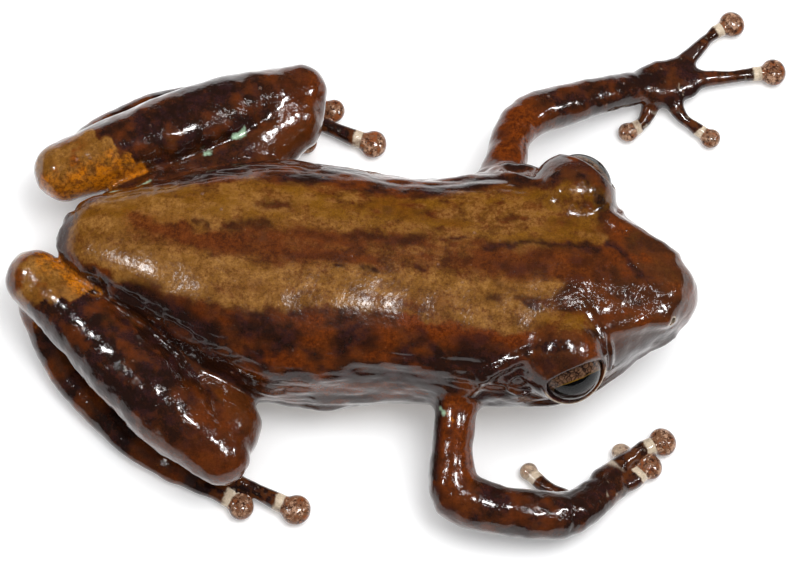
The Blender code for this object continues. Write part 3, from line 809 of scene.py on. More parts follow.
def shade_smooth(mesh):
    mesh.polygons.foreach_set("use_smooth", np.ones(len(mesh.polygons), bool))


# The pale bands of the back: x, then y at the right edge, both edges of the brown stripe between
# them, and the left edge
BACK_BANDS = (
    (-13.0, -0.8, -0.4, -0.3, 0.9),
    (-11.4, -1.5, -0.4, -0.3, 1.5),
    (-10.0, -2.3, -0.6, -0.1, 2.05),
    (-8.4, -2.75, -1.0, 0.35, 2.15),
    (-6.8, -3.13, -1.2, 0.25, 2.2),
    (-5.1, -3.36, -1.3, 0.30, 2.55),
    (-2.7, -3.18, -1.32, 0.34, 2.5),
    (-0.7, -3.0, -1.25, 0.45, 2.3),
    (1.3, -2.96, -1.0, 0.59, 2.45),
    (3.4, -3.24, -0.8, 0.70, 2.95),
    (5.4, -3.40, -1.3, 0.35, 3.4),
    (6.8, -3.45, -2.0, 0.45, 3.5),
    (8.2, -3.40, -2.25, 0.60, 3.3),
    (9.2, -2.9, -2.4, 0.75, 2.0),
    (10.0, -2.4, -2.3, 0.9, 1.2),
)

# How dark the foot is along its length, from the heel to the toes
FOOT_BANDS = (
    (0.00, 0.15), (0.10, 0.2), (0.14, 0.9), (0.22, 0.9), (0.27, 0.15), (0.34, 0.15), (0.38, 0.9),
    (0.45, 0.85), (0.49, 0.25), (0.57, 0.3), (0.61, 1.0), (0.77, 1.0), (0.82, 0.3), (0.90, 0.5), (1.00, 0.1),
)

# Marks on the back and head: mask, radius, strength, then the places that a stroke runs through
MARKS = (
    ("dark", 0.15, 0.82, ((-12.23, 0.75, 4.54), (-12.2, 0.35, 4.72))),
    ("dark", 0.18, 0.82, ((-11.19, -1.78, 4.8),)),
    ("dark", 0.22, 0.45, ((-7.5, 0.28, 6.22), (-6.95, 0.27, 6.32))),
    ("dark", 0.30, 0.42, ((-4.82, 1.24, 6.34), (-3.61, 1.35, 6.38))),
    ("dark", 0.23, 0.45, ((-6.05, 0.14, 6.43), (-4.4, 0.28, 6.53))),
    ("dark", 0.23, 0.49, ((-1.13, 0.14, 6.54), (0.4, 0.25, 6.5), (1.65, 0.48, 6.46))),
    ("dark", 0.14, 0.66, ((-1.32, -1.29, 6.55), (0.05, -1.12, 6.52))),
    ("dark", 0.14, 0.57, ((1.77, -0.84, 6.51), (2.82, -0.74, 6.53))),
    ("dark", 0.23, 0.45, ((1.59, 1.63, 6.23), (1.92, 1.61, 6.25))),
    ("dark", 0.17, 0.53, ((2.7, 0.59, 6.48), (3.75, 0.67, 6.56))),
    ("dark", 0.19, 0.66, ((4.47, 0.27, 6.66), (5.86, 0.6, 6.75), (7.48, 0.68, 6.76), (9.2, 0.68, 6.58))),
    ("dark", 0.18, 0.28, ((4.9, 1.55, 6.5), (6.2, 1.75, 6.6), (8.2, 1.6, 6.5))),
    ("dark", 0.18, 0.70, ((9.51, 0.98, 6.48), (10.1, 0.5, 6.42), (10.44, 0.15, 6.39), (11.1, -0.35, 6.21))),
    ("dark", 0.32, 0.53, ((5.35, -0.6, 6.74), (6.81, -0.55, 6.81))),
    ("dark", 0.17, 0.61, ((6.34, -2.07, 6.65), (8.24, -2.05, 6.58))),
    ("dark", 0.48, 0.45, ((9.2, -0.3, 6.62), (10.4, -0.7, 6.35))),
    ("dark", 0.23, 0.41, ((4.9, -1.75, 6.6), (7.0, -1.9, 6.7))),
    ("dark", 0.57, 0.66, ((0.04, -3.76, 5.78),)),
    ("dark", 0.44, 0.70, ((-0.87, -4.34, 5.47),)),
    ("dark", 0.52, 0.66, ((-3.68, -4.25, 5.68),)),
    ("dark", 0.37, 0.61, ((2.23, -3.5, 5.9),)),
    ("dark", 0.63, 0.78, ((4.19, -4.0, 5.73), (5.3, -4.35, 5.6), (6.3, -4.5, 5.5))),
    ("dark", 0.57, 0.74, ((-4.99, -3.9, 5.84), (-3.2, -4.15, 5.73))),
    ("dark", 0.69, 0.82, ((-9.9, -2.8, 5.0), (-8.19, -3.4, 5.4), (-6.28, -4.3, 5.2))),
    ("dark", 0.52, 0.74, ((-8.6, -3.8, 4.3), (-6.6, -4.9, 4.1), (-5.2, -5.3, 3.6))),
    ("dark", 0.16, 0.78, ((3.28, -4.88, 4.52),)),
    ("dark", 0.28, 0.74, ((4.2, -4.75, 4.2), (5.4, -4.85, 3.9), (6.8, -4.9, 3.6))),
    ("dark", 0.34, 0.66, ((-8.5, 2.9, 4.6), (-6.5, 3.3, 4.9), (-4.4, 3.4, 5.4))),
    ("dark", 0.15, 0.66, ((-3.6, 2.75, 5.85), (-1.6, 2.6, 5.9), (0.2, 2.5, 5.9))),
    ("dark", 0.18, 0.49, ((11.4, -1.9, 5.5), (10.6, -2.6, 5.3))),
    ("rust", 0.26, 1.00, ((1.4, -3.05, 6.05), (3.76, -3.38, 6.0), (5.83, -3.55, 6.1), (6.6, -3.4, 6.2))),
    ("rust", 0.22, 0.80, ((-5.44, -3.5, 5.9), (-3.6, -3.6, 5.95), (-2.29, -3.4, 6.1))),
    ("rust", 0.34, 0.80, ((-4.55, -4.8, 5.06), (-2.52, -4.77, 5.21))),
    ("rust", 0.16, 1.00, ((-2.6, -5.24, 4.62), (-1.2, -5.16, 4.55), (0.0, -5.01, 4.51))),
    ("rust", 0.35, 0.70, ((0.9, -4.35, 5.3), (2.6, -4.4, 5.2))),
    ("rust", 0.40, 0.20, ((9.1, 1.5, 6.4), (9.9, 1.3, 6.3))),
    ("rust", 0.40, 0.40, ((9.3, -2.3, 6.4), (11.3, -1.3, 6.0))),
    ("rust", 0.50, 0.45, ((-9.8, 0.3, 5.7), (-7.5, -0.4, 6.3), (-5.5, -0.6, 6.4))),
    ("tan", 0.42, 0.75, ((5.4, -1.35, 6.6), (7.2, -1.25, 6.75))),
    ("tan", 0.35, 0.25, ((11.5, 0.5, 6.05), (12.3, 0.1, 5.8))),
    ("tan", 0.22, 0.60, ((4.5, 0.95, 6.6), (6.5, 1.15, 6.7), (9.3, 1.15, 6.5))),
    ("mint", 0.11, 0.80, ((-7.45, 4.24, 3.95), (-7.15, 4.38, 3.95))),
    ("mint", 0.14, 0.90, ((-6.14, 5.26, 3.87), (-5.94, 5.42, 3.87))),
    ("mint", 0.10, 1.00, ((-11.0, 1.98, 4.15), (-10.4, 2.16, 4.35), (-9.3, 2.75, 4.1))),
    ("mint", 0.14, 0.80, ((3.36, -5.80, 3.6), (3.52, -5.98, 3.65))),
    ("gold", 0.08, 0.90, ((3.7, -5.95, 3.7), (3.95, -6.1, 3.75))),
)


def band_edges(x):
    rows = np.array(BACK_BANDS)
    return [np.interp(x, rows[:, 0], rows[:, i]) for i in range(1, 5)]


class Paint:
    """The skin's masks by name, each from 0 to 1 at every point."""

    NAMES = (
        "tan", "olive", "rust", "dark", "gold", "cream",
        "mint", "slate", "belly", "bark", "disc", "dull",
    )

    def __init__(self, points):
        self.points = points
        self.layers = {name: np.zeros(len(points)) for name in self.NAMES}
        drift = [layered_noise(points, 0.8, 11 + i) - 0.5 for i in range(3)]
        finer = [layered_noise(points, 0.28, 31 + i) - 0.5 for i in range(3)]
        self.ragged = points + np.array(drift).T * 0.7 + np.array(finer).T * 0.34

    def put(self, name, mask, strength=1.0):
        self.layers[name] = np.maximum(self.layers[name], np.clip(mask, 0, 1) * strength)

    def clear(self, mask, names=None):
        for name in names or self.NAMES:
            self.layers[name] = self.layers[name] * (1 - np.clip(mask, 0, 1))

    def stroke(self, name, radius, strength, places):
        gap = path_distance(self.ragged, places)
        self.put(name, 1 - step(gap, radius * 0.2, radius * 2.0), strength)


def paint_trunk(paint):
    x, y, z = paint.ragged.T
    degrees = BODY.angle((x, y, z))
    right, mid_right, mid_left, left = band_edges(x)
    band = step(y, right - 0.30, right + 0.40) * (1 - step(y, left - 0.36, left + 0.32))
    band = band * (1 - step(x, 8.0, 10.4)) * step(degrees, 10, 28)
    middle = step(y, mid_right - 0.4, mid_right + 0.5) * (1 - step(y, mid_left - 0.5, mid_left + 0.4))
    upper = step(y, mid_left - 0.2, mid_left + 0.7)
    streaks = layered_noise(paint.points, (2.4, 0.5, 0.8), 41)
    mottle = layered_noise(paint.points, (1.3, 0.65, 0.8), 47)
    fine = layered_noise(paint.points, (0.55, 0.34, 0.4), 49)
    long_spots = streaks * 0.7 + fine * 0.3
    round_spots = fine * 0.5 + mottle * 0.5
    drab = step(mottle * 0.6 + streaks * 0.4, 0.44, 0.66)
    head = step(x, 5.0, 8.5)
    ahead = step(x, -8.0, -1.0)
    tan = 0.88 - 0.18 * ahead * (1 + 0.8 * upper) - 0.42 * middle * (1 + 0.5 * head)
    tan += 0.9 * (fine - 0.5) - 0.26 * drab
    paint.put("tan", band * tan * (1 - 0.16 * head))
    paint.put("olive", band * (0.22 + 0.34 * upper) * step(long_spots, 0.40, 0.62))
    paint.put("rust", band * middle * step(long_spots, 0.32, 0.66), 0.52)
    paint.put("rust", band * (1 - middle) * drab * (0.6 + 0.9 * (fine - 0.5)), 0.42)
    paint.put("dark", band * middle * step(streaks * 0.6 + fine * 0.4, 0.46, 0.70), 0.44)
    paint.put("dark", band * middle * head * step(round_spots, 0.36, 0.62), 0.55)
    paint.put("dark", band * drab * step(fine, 0.46, 0.74), 0.44)
    flank = (1 - band) * step(degrees, -12, 6)
    blotch = layered_noise(paint.points, (1.3, 0.8, 0.7), 53)
    flank_spots = blotch * 0.7 + fine * 0.3
    paint.put("dark", flank * step(flank_spots, 0.36, 0.62), 0.78)
    paint.put("rust", flank * (1 - step(flank_spots, 0.34, 0.54)), 0.60)
    paint.put("slate", 1 - step(degrees, -6, 14))
    tail = 1 - step(x, -12.75, -12.25)
    paint.put("slate", tail)
    paint.clear(tail, ("tan", "olive"))
    paint.put("belly", (1 - step(degrees, -46, -22)) * step(-z, -2.6, -1.4))
    snout = step(x, 9.0, 10.6) * step(degrees, 18, 40)
    paint.put("bark", snout, 0.6)
    paint.put("rust", snout * step(mottle, 0.36, 0.68), 0.28)
    paint.put("olive", snout * step(fine, 0.5, 0.75), 0.30)
    paint.clear(snout * 0.4, ("dark",))
    paint.put("dark", snout * step(round_spots, 0.48, 0.68), 0.66)
    lips = step(x, 7.0, 8.0) * (1 - step(degrees, 6, 16)) * step(degrees, -40, -30)
    paint.put("rust", lips * step(blotch, 0.48, 0.66), 0.6)
    for side in (1, -1):
        gap = np.linalg.norm(paint.points - nostril_hole(side), axis=1)
        paint.put("cream", (1 - step(gap, 0.25, 0.33)) * step(gap, 0.13, 0.18), 0.5)
        paint.clear(1 - step(gap, 0.16, 0.2), ("rust", "olive", "bark"))
        paint.put("dark", 1 - step(gap, 0.15, 0.19))


def paint_lids(paint):
    fine = layered_noise(paint.points, 0.5, 55)
    for side in (1, -1):
        centre, forward, up, look = eye_axes(side)
        gaps = paint.ragged - (centre + mirrored(LID_SHIFT, side))
        dome = 1 - step(np.linalg.norm(gaps / 1.95, axis=1), 0.9, 1.02)
        outward = step(side * gaps[:, 1], -0.30, 0.50) if side > 0 else step(-gaps[:, 1], -0.85, 0.05)
        paint.clear(dome * outward * 0.85, ("tan", "olive"))
        paint.put("bark", dome * outward, 0.7)
        paint.put("rust", dome * outward * step(fine, 0.38, 0.68), 0.35)
        paint.put("olive", dome * (1 - outward) * step(fine, 0.3, 0.6), 0.6)
        paint.put("dark", dome * step(side * gaps[:, 1], 0.1, 0.9) * (0.7 + 0.6 * fine), 0.6)
        # A thin cream line along the lower lid rim: a painted highlight of the wet rim, put over every other
        # mask there
        true_gap = paint.points - centre
        ahead, above = true_gap @ forward, true_gap @ up
        out = true_gap @ look
        rim_glint = lid_oval(ahead, above)
        rim_glint = (1 - step(np.abs(rim_glint - 1.03), 0.018, 0.048)) * step(out, 0.1, 0.3)
        low = 1 - step(above, -0.45, 0.1)
        paint.clear(rim_glint * low)
        paint.put("cream", rim_glint * low, 0.68)


# A distance to the body that is taken where only the limb counts
NO_BODY = 9.0


def limb_blend(paint, chain, body_reach):
    """Where a limb rather than the trunk makes the skin, then what Chain.read gives there."""
    low, high = chain.box()
    near = np.all((paint.points > low - 1.0) & (paint.points < high + 1.0), axis=1)
    share = np.zeros((4, len(paint.points)))
    share[0] = NO_BODY
    reach, along, upward, aside = chain.read(paint.points[near].T)
    share[:, near] = np.array([reach, along, upward, aside])
    weight = (1 - step(share[0], 0.12, 0.4)) * step(body_reach - share[0], -0.12, 0.22)
    return weight, share[1], share[2], share[3]


def paint_leg(paint, name, body_reach):
    side = 1 if name == "left" else -1
    blotch = layered_noise(paint.points, 0.95, 61 + side)
    fleck = layered_noise(paint.points, 0.38, 71 + side)
    both = blotch * 0.65 + fleck * 0.35
    shift = (layered_noise(paint.points, 0.7, 75) - 0.5) * 0.12

    weight, along, upward, _ = limb_blend(paint, LIMBS[f"thigh_{name}"][0], body_reach)
    paint.clear(weight)
    paint.put("dark", weight * (0.45 + 0.55 * step(both, 0.32, 0.62)), 0.78)
    paint.put("rust", weight * step(along, 0.6, 0.95) * (0.30 + 0.70 * step(fleck, 0.35, 0.65)), 0.58)
    paint.clear(weight * step(along, 0.65, 0.95) * 0.6, ("dark",))
    paint.put("bark", weight * step(along, 0.2, 0.6), 0.5)
    paint.put("olive", weight * step(fleck, 0.52, 0.70), 0.4)
    paint.put("belly", weight * (1 - step(upward, -0.75, -0.4)), 0.7)

    weight, along, upward, aside = limb_blend(paint, LIMBS[f"shank_{name}"][0], NO_BODY)
    paint.clear(weight)
    inward = aside * side
    edge = 0.195 + 0.10 * inward + shift
    heel = 1 - step(along, edge - 0.018, edge + 0.018)
    inner = step(inward + (fleck - 0.5) * 0.8, -0.15, 0.85)
    paint.put("tan", weight * heel * (0.95 - 0.4 * inner + 0.6 * (fleck - 0.5)))
    paint.put("gold", weight * heel * (0.10 + 0.62 * inner) * (0.8 + 1.2 * (fleck - 0.5)))
    heel_end = 1 - 0.5 * step(along, 0.05, 0.12)
    paint.put("rust", weight * heel * heel_end * step(both, 0.40, 0.58), 0.72)
    paint.put("dark", weight * heel * step(blotch, 0.54, 0.74), 0.5)
    paint.put("dark", weight * (1 - heel) * (0.38 + 0.62 * step(both, 0.34, 0.60)), 0.84)
    paint.put("rust", weight * (1 - heel) * (1 - step(both, 0.32, 0.56)), 0.50)
    paint.put("olive", weight * (1 - heel) * step(fleck, 0.56, 0.72), 0.35)
    knee = weight * step(along, 0.72, 0.95)
    paint.put("rust", knee * (0.30 + 0.70 * step(fleck, 0.3, 0.6)), 0.62)
    paint.clear(knee * 0.45, ("dark",))
    paint.put("slate", weight * (1 - step(upward, -0.35, 0.15)), 0.8)

    chain, toes = LIMBS[f"foot_{name}"]
    weight, along, _, _ = limb_blend(paint, chain, NO_BODY)
    weight = weight * step(paint.points[:, 2], -1, 0) * (1 - step(paint.points[:, 2], 2.1, 2.6))
    paint.clear(weight)
    places, depths = np.array(FOOT_BANDS).T
    depth = np.interp(along + shift * 0.6, places, depths)
    paint.put("dark", weight * depth * (0.8 + 0.7 * (fleck - 0.5)), 0.95)
    paint.put("rust", weight * (1 - depth) * step(fleck, 0.28, 0.62), 0.8)
    paint.put("gold", weight * (1 - depth) * step(fleck, 0.55, 0.8), 0.5)
    paint.put("bark", weight * (1 - depth), 0.5)
    paint_digits(paint, toes, 0.9)


def paint_arm(paint, name, body_reach):
    chain, fingers = LIMBS[f"arm_{name}"]
    weight, along, upward, aside = limb_blend(paint, chain, body_reach)
    blotch = layered_noise(paint.points, 1.0, 91)
    fleck = layered_noise(paint.points, 0.42, 97)
    both = blotch * 0.6 + fleck * 0.4
    shift = (fleck - 0.5) * 0.10
    paint.clear(weight)
    elbow = 0.40 if name == "left" else 0.42
    upper = weight * (1 - step(along + shift, elbow - 0.04, elbow + 0.14))
    paint.put("rust", upper * (0.72 + 0.9 * (fleck - 0.5)), 0.92)
    paint.put("gold", upper * step(both, 0.50, 0.72), 0.18)
    paint.put("dull", upper, 0.45)
    paint.put("dark", upper * (1 - step(both, 0.30, 0.48)), 0.55)
    rear = -aside if name == "left" else aside
    paint.put("dark", upper * step(rear, 0.35, 0.85), 0.85 if name == "right" else 0.3)
    lower = weight * step(along + shift, elbow - 0.02, elbow + 0.14)
    paint.put("dark", lower * (0.40 + 0.60 * step(both, 0.34, 0.60)), 0.80)
    paint.put("rust", lower * (1 - step(both, 0.32, 0.54)), 0.52)
    paint.put("olive", lower * step(fleck, 0.58, 0.72), 0.35)
    paint.put("slate", weight * (1 - step(upward, -0.5, -0.1)), 0.7)
    hand = weight * step(along, 0.84, 0.93)
    paint.clear(hand * 0.85, ("rust", "olive"))
    paint.put("bark", hand, 0.4)
    paint.put("dark", hand * (0.5 + 0.5 * step(fleck, 0.3, 0.6)), 0.66)
    paint.put("cream", hand * step(lattice_noise(paint.points, 0.2, 93), 0.80, 0.90), 0.4)
    paint_digits(paint, fingers, 0.7)


def paint_digits(paint, digits, depth):
    """Mottled dark shafts, a cream ring before each disc and a mottled disc."""
    grit = lattice_noise(paint.points, 0.16, 101)
    flecks = layered_noise(paint.points, 0.30, 107)
    gaps = []
    for places, shaft, disc in digits:
        tip = np.array(places[-1])
        from_tip = np.linalg.norm(paint.points - tip, axis=1) - disc
        gaps.append(np.minimum(path_distance(paint.points, places[1:]) - shaft * 1.1, from_tip))
    nearest = np.argmin(gaps, axis=0)
    for i, (places, shaft, disc) in enumerate(digits):
        neck, tip = np.array(places[-2]), np.array(places[-1])
        near = (1 - step(gaps[i], 0.10, 0.24)) * (nearest == i)
        ahead = (paint.points * 0.6 + paint.ragged * 0.4 - tip) @ unit(tip - neck)
        on_disc = near * (1 - step(np.linalg.norm(paint.points - tip, axis=1), disc * 1.02, disc * 1.10))
        ring = near * step(ahead, -1.62 * disc, -1.46 * disc) * (1 - on_disc)
        pale = 0.75 if disc < 0.41 else 0.3 if disc < 0.46 else 0.0
        paint.clear(near)
        paint.put("bark", near, 0.6)
        paint.put("rust", near * step(flecks, 0.45, 0.70), 0.25)
        paint.put("dark", near * step(grit * 0.5 + flecks * 0.5, 0.28, 0.58), depth)
        paint.put("cream", near * step(flecks * 0.6 + grit * 0.4, 0.60, 0.74), 0.30 + 0.4 * pale)
        paint.clear(np.maximum(ring, on_disc))
        paint.put("cream", ring * (0.75 + 1.1 * (flecks - 0.5)))
        paint.put("rust", ring * step(flecks, 0.5, 0.7), 0.3)
        paint.put("disc", on_disc)
        paint.put("cream", on_disc * (0.6 + 0.8 * (flecks - 0.5)), pale)


def painted(points):
    paint = Paint(points)
    body_reach = BODY.distance(points.T)
    paint_trunk(paint)
    paint_lids(paint)
    for name, radius, strength, places in MARKS:
        if name not in ("mint", "gold"):
            paint.stroke(name, radius, strength, places)
            if name in ("dark", "rust"):
                gap = path_distance(paint.ragged, places)
                paint.clear((1 - step(gap, radius * 0.4, radius)) * 0.6, ("tan",))
    for side in ("left", "right"):
        paint_arm(paint, side, body_reach)
        paint_leg(paint, side, body_reach)
    for name, radius, strength, places in MARKS:
        if name in ("mint", "gold"):
            paint.stroke(name, radius, strength, places)
    degrees = BODY.angle(points.T)
    back = step(degrees, 35, 55) * (1 - step(points[:, 0], 6.5, 9.0)) * (1 - step(body_reach, 0.1, 0.4))
    paint.put("dull", 0.75 * back)
    return paint.layers


def skin_relief(points):
    """How far the skin rises at each point: lumps everywhere and wrinkles along the flanks."""
    degrees = BODY.angle(points.T)
    x = points[:, 0]
    trunk = (1 - step(np.abs(BODY.distance(points.T)), 0.15, 0.5)) * (1 - step(x, 7.5, 9.5))
    back = trunk * step(degrees, 38, 58)
    rise = 0.10 * (lattice_noise(points, 2.4, 1) - 0.5) + 0.05 * (lattice_noise(points, 1.0, 2) - 0.5)
    lumps = 0.085 * (lattice_noise(points, 0.72, 3) - 0.5) + 0.045 * (lattice_noise(points, 0.34, 4) - 0.5)
    rise += lumps * (1 - 0.62 * back)
    flank = trunk * step(degrees, -25, 0) * (1 - step(degrees, 38, 58)) * (1 - 0.45 * step(x, 4.0, 6.0))
    folds = np.abs(lattice_noise(points, (3.0, 0.62, 0.62), 5) - 0.5) * 2
    creases = np.abs(lattice_noise(points, (1.3, 0.30, 0.30), 6) - 0.5) * 2
    rise += flank * (0.16 * (folds - 0.4) + 0.05 * (creases - 0.4))
    eyes = np.min([np.linalg.norm(points - eye, axis=1) for eye in (EYE_LEFT, EYE_RIGHT)], axis=0)
    digits = np.clip((points[:, 2] - 0.1) / 0.8, 0.2, 1)
    return rise * np.clip((eyes - 1.5) / 0.5, 0.15, 1) * digits


def largest_part(points, quads):
    """The largest joined part of a surface, without small bubbles left inside the flesh."""
    part = np.arange(len(points))
    while True:
        lower = part.copy()
        np.minimum.at(lower, quads, part[quads].min(axis=1)[:, None])
        lower = lower[lower]
        if np.array_equal(lower, part):
            break
        part = lower
    kept = part == np.bincount(part).argmax()
    renumbered = np.cumsum(kept) - 1
    return points[kept], renumbered[quads[kept[quads[:, 0]]]]


def make_skin():
    flesh = make_flesh()
    points, quads = largest_part(*flesh.surface())
    points = relaxed(points.astype(float), quads, 2)
    mesh = mesh_from_quads("skin", points, quads)
    halve_fine_places(mesh)
    points = read_points(mesh)
    fine = np.zeros(len(points), bool)
    for place, radius in FINE_PLACES:
        fine |= np.linalg.norm(points - place, axis=1) < radius + SETTLE_MARGIN
    points[fine] = flesh.settle(points[fine])
    save_masks(mesh, painted(points))
    write_points(mesh, points)
    points = points + read_normals(mesh) * skin_relief(points)[:, None]
    points[:, 2] = np.maximum(points[:, 2], 0.0)
    write_points(mesh, points)
    shade_smooth(mesh)
    return place_in_scene("skin", mesh)


def linear(red, green, blue):
    """A screen colour out of 255, as the shader's own values."""
    shares = (channel / 255 for channel in (red, green, blue))
    return tuple(s / 12.92 if s <= 0.04045 else ((s + 0.055) / 1.055) ** 2.4 for s in shares) + (1.0,)


def add_node(tree, kind, inputs=None, **settings):
    """A node with its settings made and its inputs set, or linked where a socket is given."""
    node = tree.nodes.new(kind)
    for name, value in settings.items():
        setattr(node, name, value)
    for key, value in (inputs or {}).items():
        if isinstance(value, bpy.types.NodeSocket):
            tree.links.new(value, node.inputs[key])
        else:
            node.inputs[key].default_value = value
    return node


def math_node(tree, operation, a, b=0.0):
    return add_node(tree, "ShaderNodeMath", {0: a, 1: b}, operation=operation).outputs[0]


def mixed(tree, share, under, over):
    """Two colours mixed, under where share is 0 and over where it is 1."""
    inputs = {0: share, 6: under, 7: over}
    return add_node(tree, "ShaderNodeMix", inputs, data_type="RGBA").outputs[2]


def ramp(tree, value, low, high, to_low=0.0, to_high=1.0):
    """A smooth rise from to_low to to_high while value goes from low to high."""
    inputs = {"Value": value, "From Min": low, "From Max": high, "To Min": to_low, "To Max": to_high}
    return add_node(tree, "ShaderNodeMapRange", inputs, interpolation_type="SMOOTHSTEP").outputs[0]


def scaled(tree, vector, scale):
    inputs = {0: vector, "Scale": scale}
    return add_node(tree, "ShaderNodeVectorMath", inputs, operation="SCALE").outputs[0]


def cells(tree, place, scale, feature="F1"):
    inputs = {"Vector": place, "Scale": scale}
    return add_node(tree, "ShaderNodeTexVoronoi", inputs, feature=feature).outputs[0]


def link_bump(tree, shader, height, strength, depth):
    """Bumps as deep as depth, in metres."""
    bump = add_node(tree, "ShaderNodeBump", {"Height": height, "Strength": strength, "Distance": depth})
    tree.links.new(bump.outputs[0], shader.inputs["Normal"])


def attribute(tree, name):
    return add_node(tree, "ShaderNodeAttribute", attribute_name=name).outputs["Fac"]


def noise(tree, place, scale, detail=2.0, roughness=0.5):
    inputs = {"Vector": place, "Scale": scale, "Detail": detail, "Roughness": roughness}
    return add_node(tree, "ShaderNodeTexNoise", inputs).outputs[0]


def place_in_mm(tree):
    return scaled(tree, add_node(tree, "ShaderNodeTexCoord").outputs["Object"], 1 / MM)


def new_material(name):
    material = bpy.data.materials.new(name)
    material.use_nodes = True
    tree = material.node_tree
    return material, tree, tree.nodes["Principled BSDF"]


def ragged_edge_group():
    """A mask broken up along its edge by grain."""
    tree = bpy.data.node_groups.new("ragged_edge", "ShaderNodeTree")
    for name in ("Mask", "Grain", "Amount"):
        tree.interface.new_socket(name, in_out="INPUT", socket_type="NodeSocketFloat")
    tree.interface.new_socket("Mask", in_out="OUTPUT", socket_type="NodeSocketFloat")
    inside = tree.nodes.new("NodeGroupInput").outputs
    outside = tree.nodes.new("NodeGroupOutput")
    push = math_node(tree, "SUBTRACT", inside["Grain"], 0.5)
    push = math_node(tree, "MULTIPLY", push, inside["Amount"])
    pushed = math_node(tree, "ADD", inside["Mask"], push)
    tree.links.new(ramp(tree, pushed, 0.08, 0.92), outside.inputs["Mask"])
    return tree


SKIN_COLOURS = {
    "ground": linear(64, 30, 9),
    "ground_light": linear(90, 43, 13),
    "bark": linear(82, 43, 18),
    "disc": linear(114, 78, 56),
    "disc_pale": linear(176, 138, 112),
    "disc_dark": linear(58, 32, 22),
    "disc_rust": linear(134, 74, 40),
    "slate": linear(54, 34, 28),
    "belly": linear(176, 160, 142),
    "tan": linear(122, 80, 27),
    "tan_pale": linear(146, 101, 46),
    "tan_deep": linear(98, 58, 18),
    "olive": linear(110, 70, 8),
    "rust": linear(106, 46, 7),
    "rust_deep": linear(74, 29, 4),
    "gold": linear(190, 110, 12),
    "gold_deep": linear(140, 74, 10),
    "dark": linear(30, 14, 9),
    # purple tint of the dark skin: a painted sheen of the wet surface
    "dark_purple_sheen": linear(42, 21, 21),
    "cream": linear(206, 188, 164),
    "mint": linear(166, 196, 166),
    "wart": linear(150, 112, 92),
}


def skin_material():
    material, tree, shader = new_material("wet_skin")
    place = place_in_mm(tree)
    masks = {name: attribute(tree, name) for name in Paint.NAMES}
    grain = noise(tree, place, 18.0, 2.0, 0.7)
    grit = noise(tree, place, 6.0, 4.0, 0.75)
    patch = noise(tree, place, 1.6, 4.0, 0.65)
    group = ragged_edge_group()

    def edge(name, amount):
        node = add_node(tree, "ShaderNodeGroup", node_tree=group)
        tree.links.new(masks[name], node.inputs["Mask"])
        tree.links.new(grit, node.inputs["Grain"])
        node.inputs["Amount"].default_value = amount
        return node.outputs["Mask"]

    colour = mixed(tree, ramp(tree, patch, 0.38, 0.62), SKIN_COLOURS["ground"], SKIN_COLOURS["ground_light"])
    colour = mixed(tree, edge("bark", 0.7), colour, SKIN_COLOURS["bark"])
    colour = mixed(tree, edge("slate", 0.5), colour, SKIN_COLOURS["slate"])
    clump = noise(tree, place, 3.2, 3.0, 0.7)
    disc = mixed(tree, ramp(tree, clump, 0.50, 0.62), SKIN_COLOURS["disc"], SKIN_COLOURS["disc_pale"])
    disc = mixed(tree, ramp(tree, clump, 0.48, 0.38), disc, SKIN_COLOURS["disc_rust"])
    disc = mixed(tree, ramp(tree, grit, 0.50, 0.38), disc, SKIN_COLOURS["disc_dark"])
    colour = mixed(tree, masks["disc"], colour, disc)
    colour = mixed(tree, edge("belly", 0.8), colour, SKIN_COLOURS["belly"])
    tan = mixed(tree, ramp(tree, patch, 0.42, 0.60), SKIN_COLOURS["tan"], SKIN_COLOURS["tan_pale"])
    tan = mixed(tree, ramp(tree, grit, 0.62, 0.30, 0.0, 0.8), tan, SKIN_COLOURS["tan_deep"])
    colour = mixed(tree, edge("tan", 0.9), colour, tan)
    colour = mixed(tree, edge("olive", 0.9), colour, SKIN_COLOURS["olive"])
    rust = mixed(tree, ramp(tree, grit, 0.56, 0.40), SKIN_COLOURS["rust"], SKIN_COLOURS["rust_deep"])
    colour = mixed(tree, edge("rust", 1.0), colour, rust)
    gold = mixed(tree, ramp(tree, grit, 0.54, 0.42), SKIN_COLOURS["gold"], SKIN_COLOURS["gold_deep"])
    colour = mixed(tree, edge("gold", 0.9), colour, gold)
    # Dark marks, patched with a purple tint that is a painted sheen of the wet skin
    dark = mixed(tree, ramp(tree, patch, 0.45, 0.6), SKIN_COLOURS["dark"], SKIN_COLOURS["dark_purple_sheen"])
    colour = mixed(tree, edge("dark", 0.9), colour, dark)
    # Cream rings, flecks and nostril rims; on the lower lid rims the cream is a painted highlight
    colour = mixed(tree, edge("cream", 0.6), colour, SKIN_COLOURS["cream"])
    colour = mixed(tree, edge("mint", 0.8), colour, SKIN_COLOURS["mint"])
    wart = ramp(tree, cells(tree, place, 0.8), 0.075, 0.03)
    colour = mixed(tree, math_node(tree, "MULTIPLY", wart, 0.35), colour, SKIN_COLOURS["wart"])
    colour = scaled(tree, colour, ramp(tree, grain, 0.3, 0.7, 0.84, 1.16))
    tree.links.new(colour, shader.inputs["Base Color"])

    granules = cells(tree, place, 6.5, "SMOOTH_F1")
    fine = noise(tree, place, 13.0, 2.0, 0.6)
    height = math_node(tree, "SUBTRACT", math_node(tree, "MULTIPLY", fine, 0.6), granules)
    height = math_node(tree, "MULTIPLY", height, ramp(tree, masks["dull"], 0.0, 1.0, 1.0, 0.6))
    height = math_node(tree, "ADD", height, math_node(tree, "MULTIPLY", wart, 2.5))
    link_bump(tree, shader, height, 1.0, 0.000016)
    tree.links.new(ramp(tree, masks["dull"], 0.0, 1.0, 0.11, 0.22), shader.inputs["Roughness"])
    tree.links.new(ramp(tree, masks["dull"], 0.0, 1.0, 0.85, 0.0), shader.inputs["Coat Weight"])
    shader.inputs["Coat Roughness"].default_value = 0.03
    shader.inputs["Coat IOR"].default_value = 1.38
    shader.inputs["IOR"].default_value = 1.30
    return material


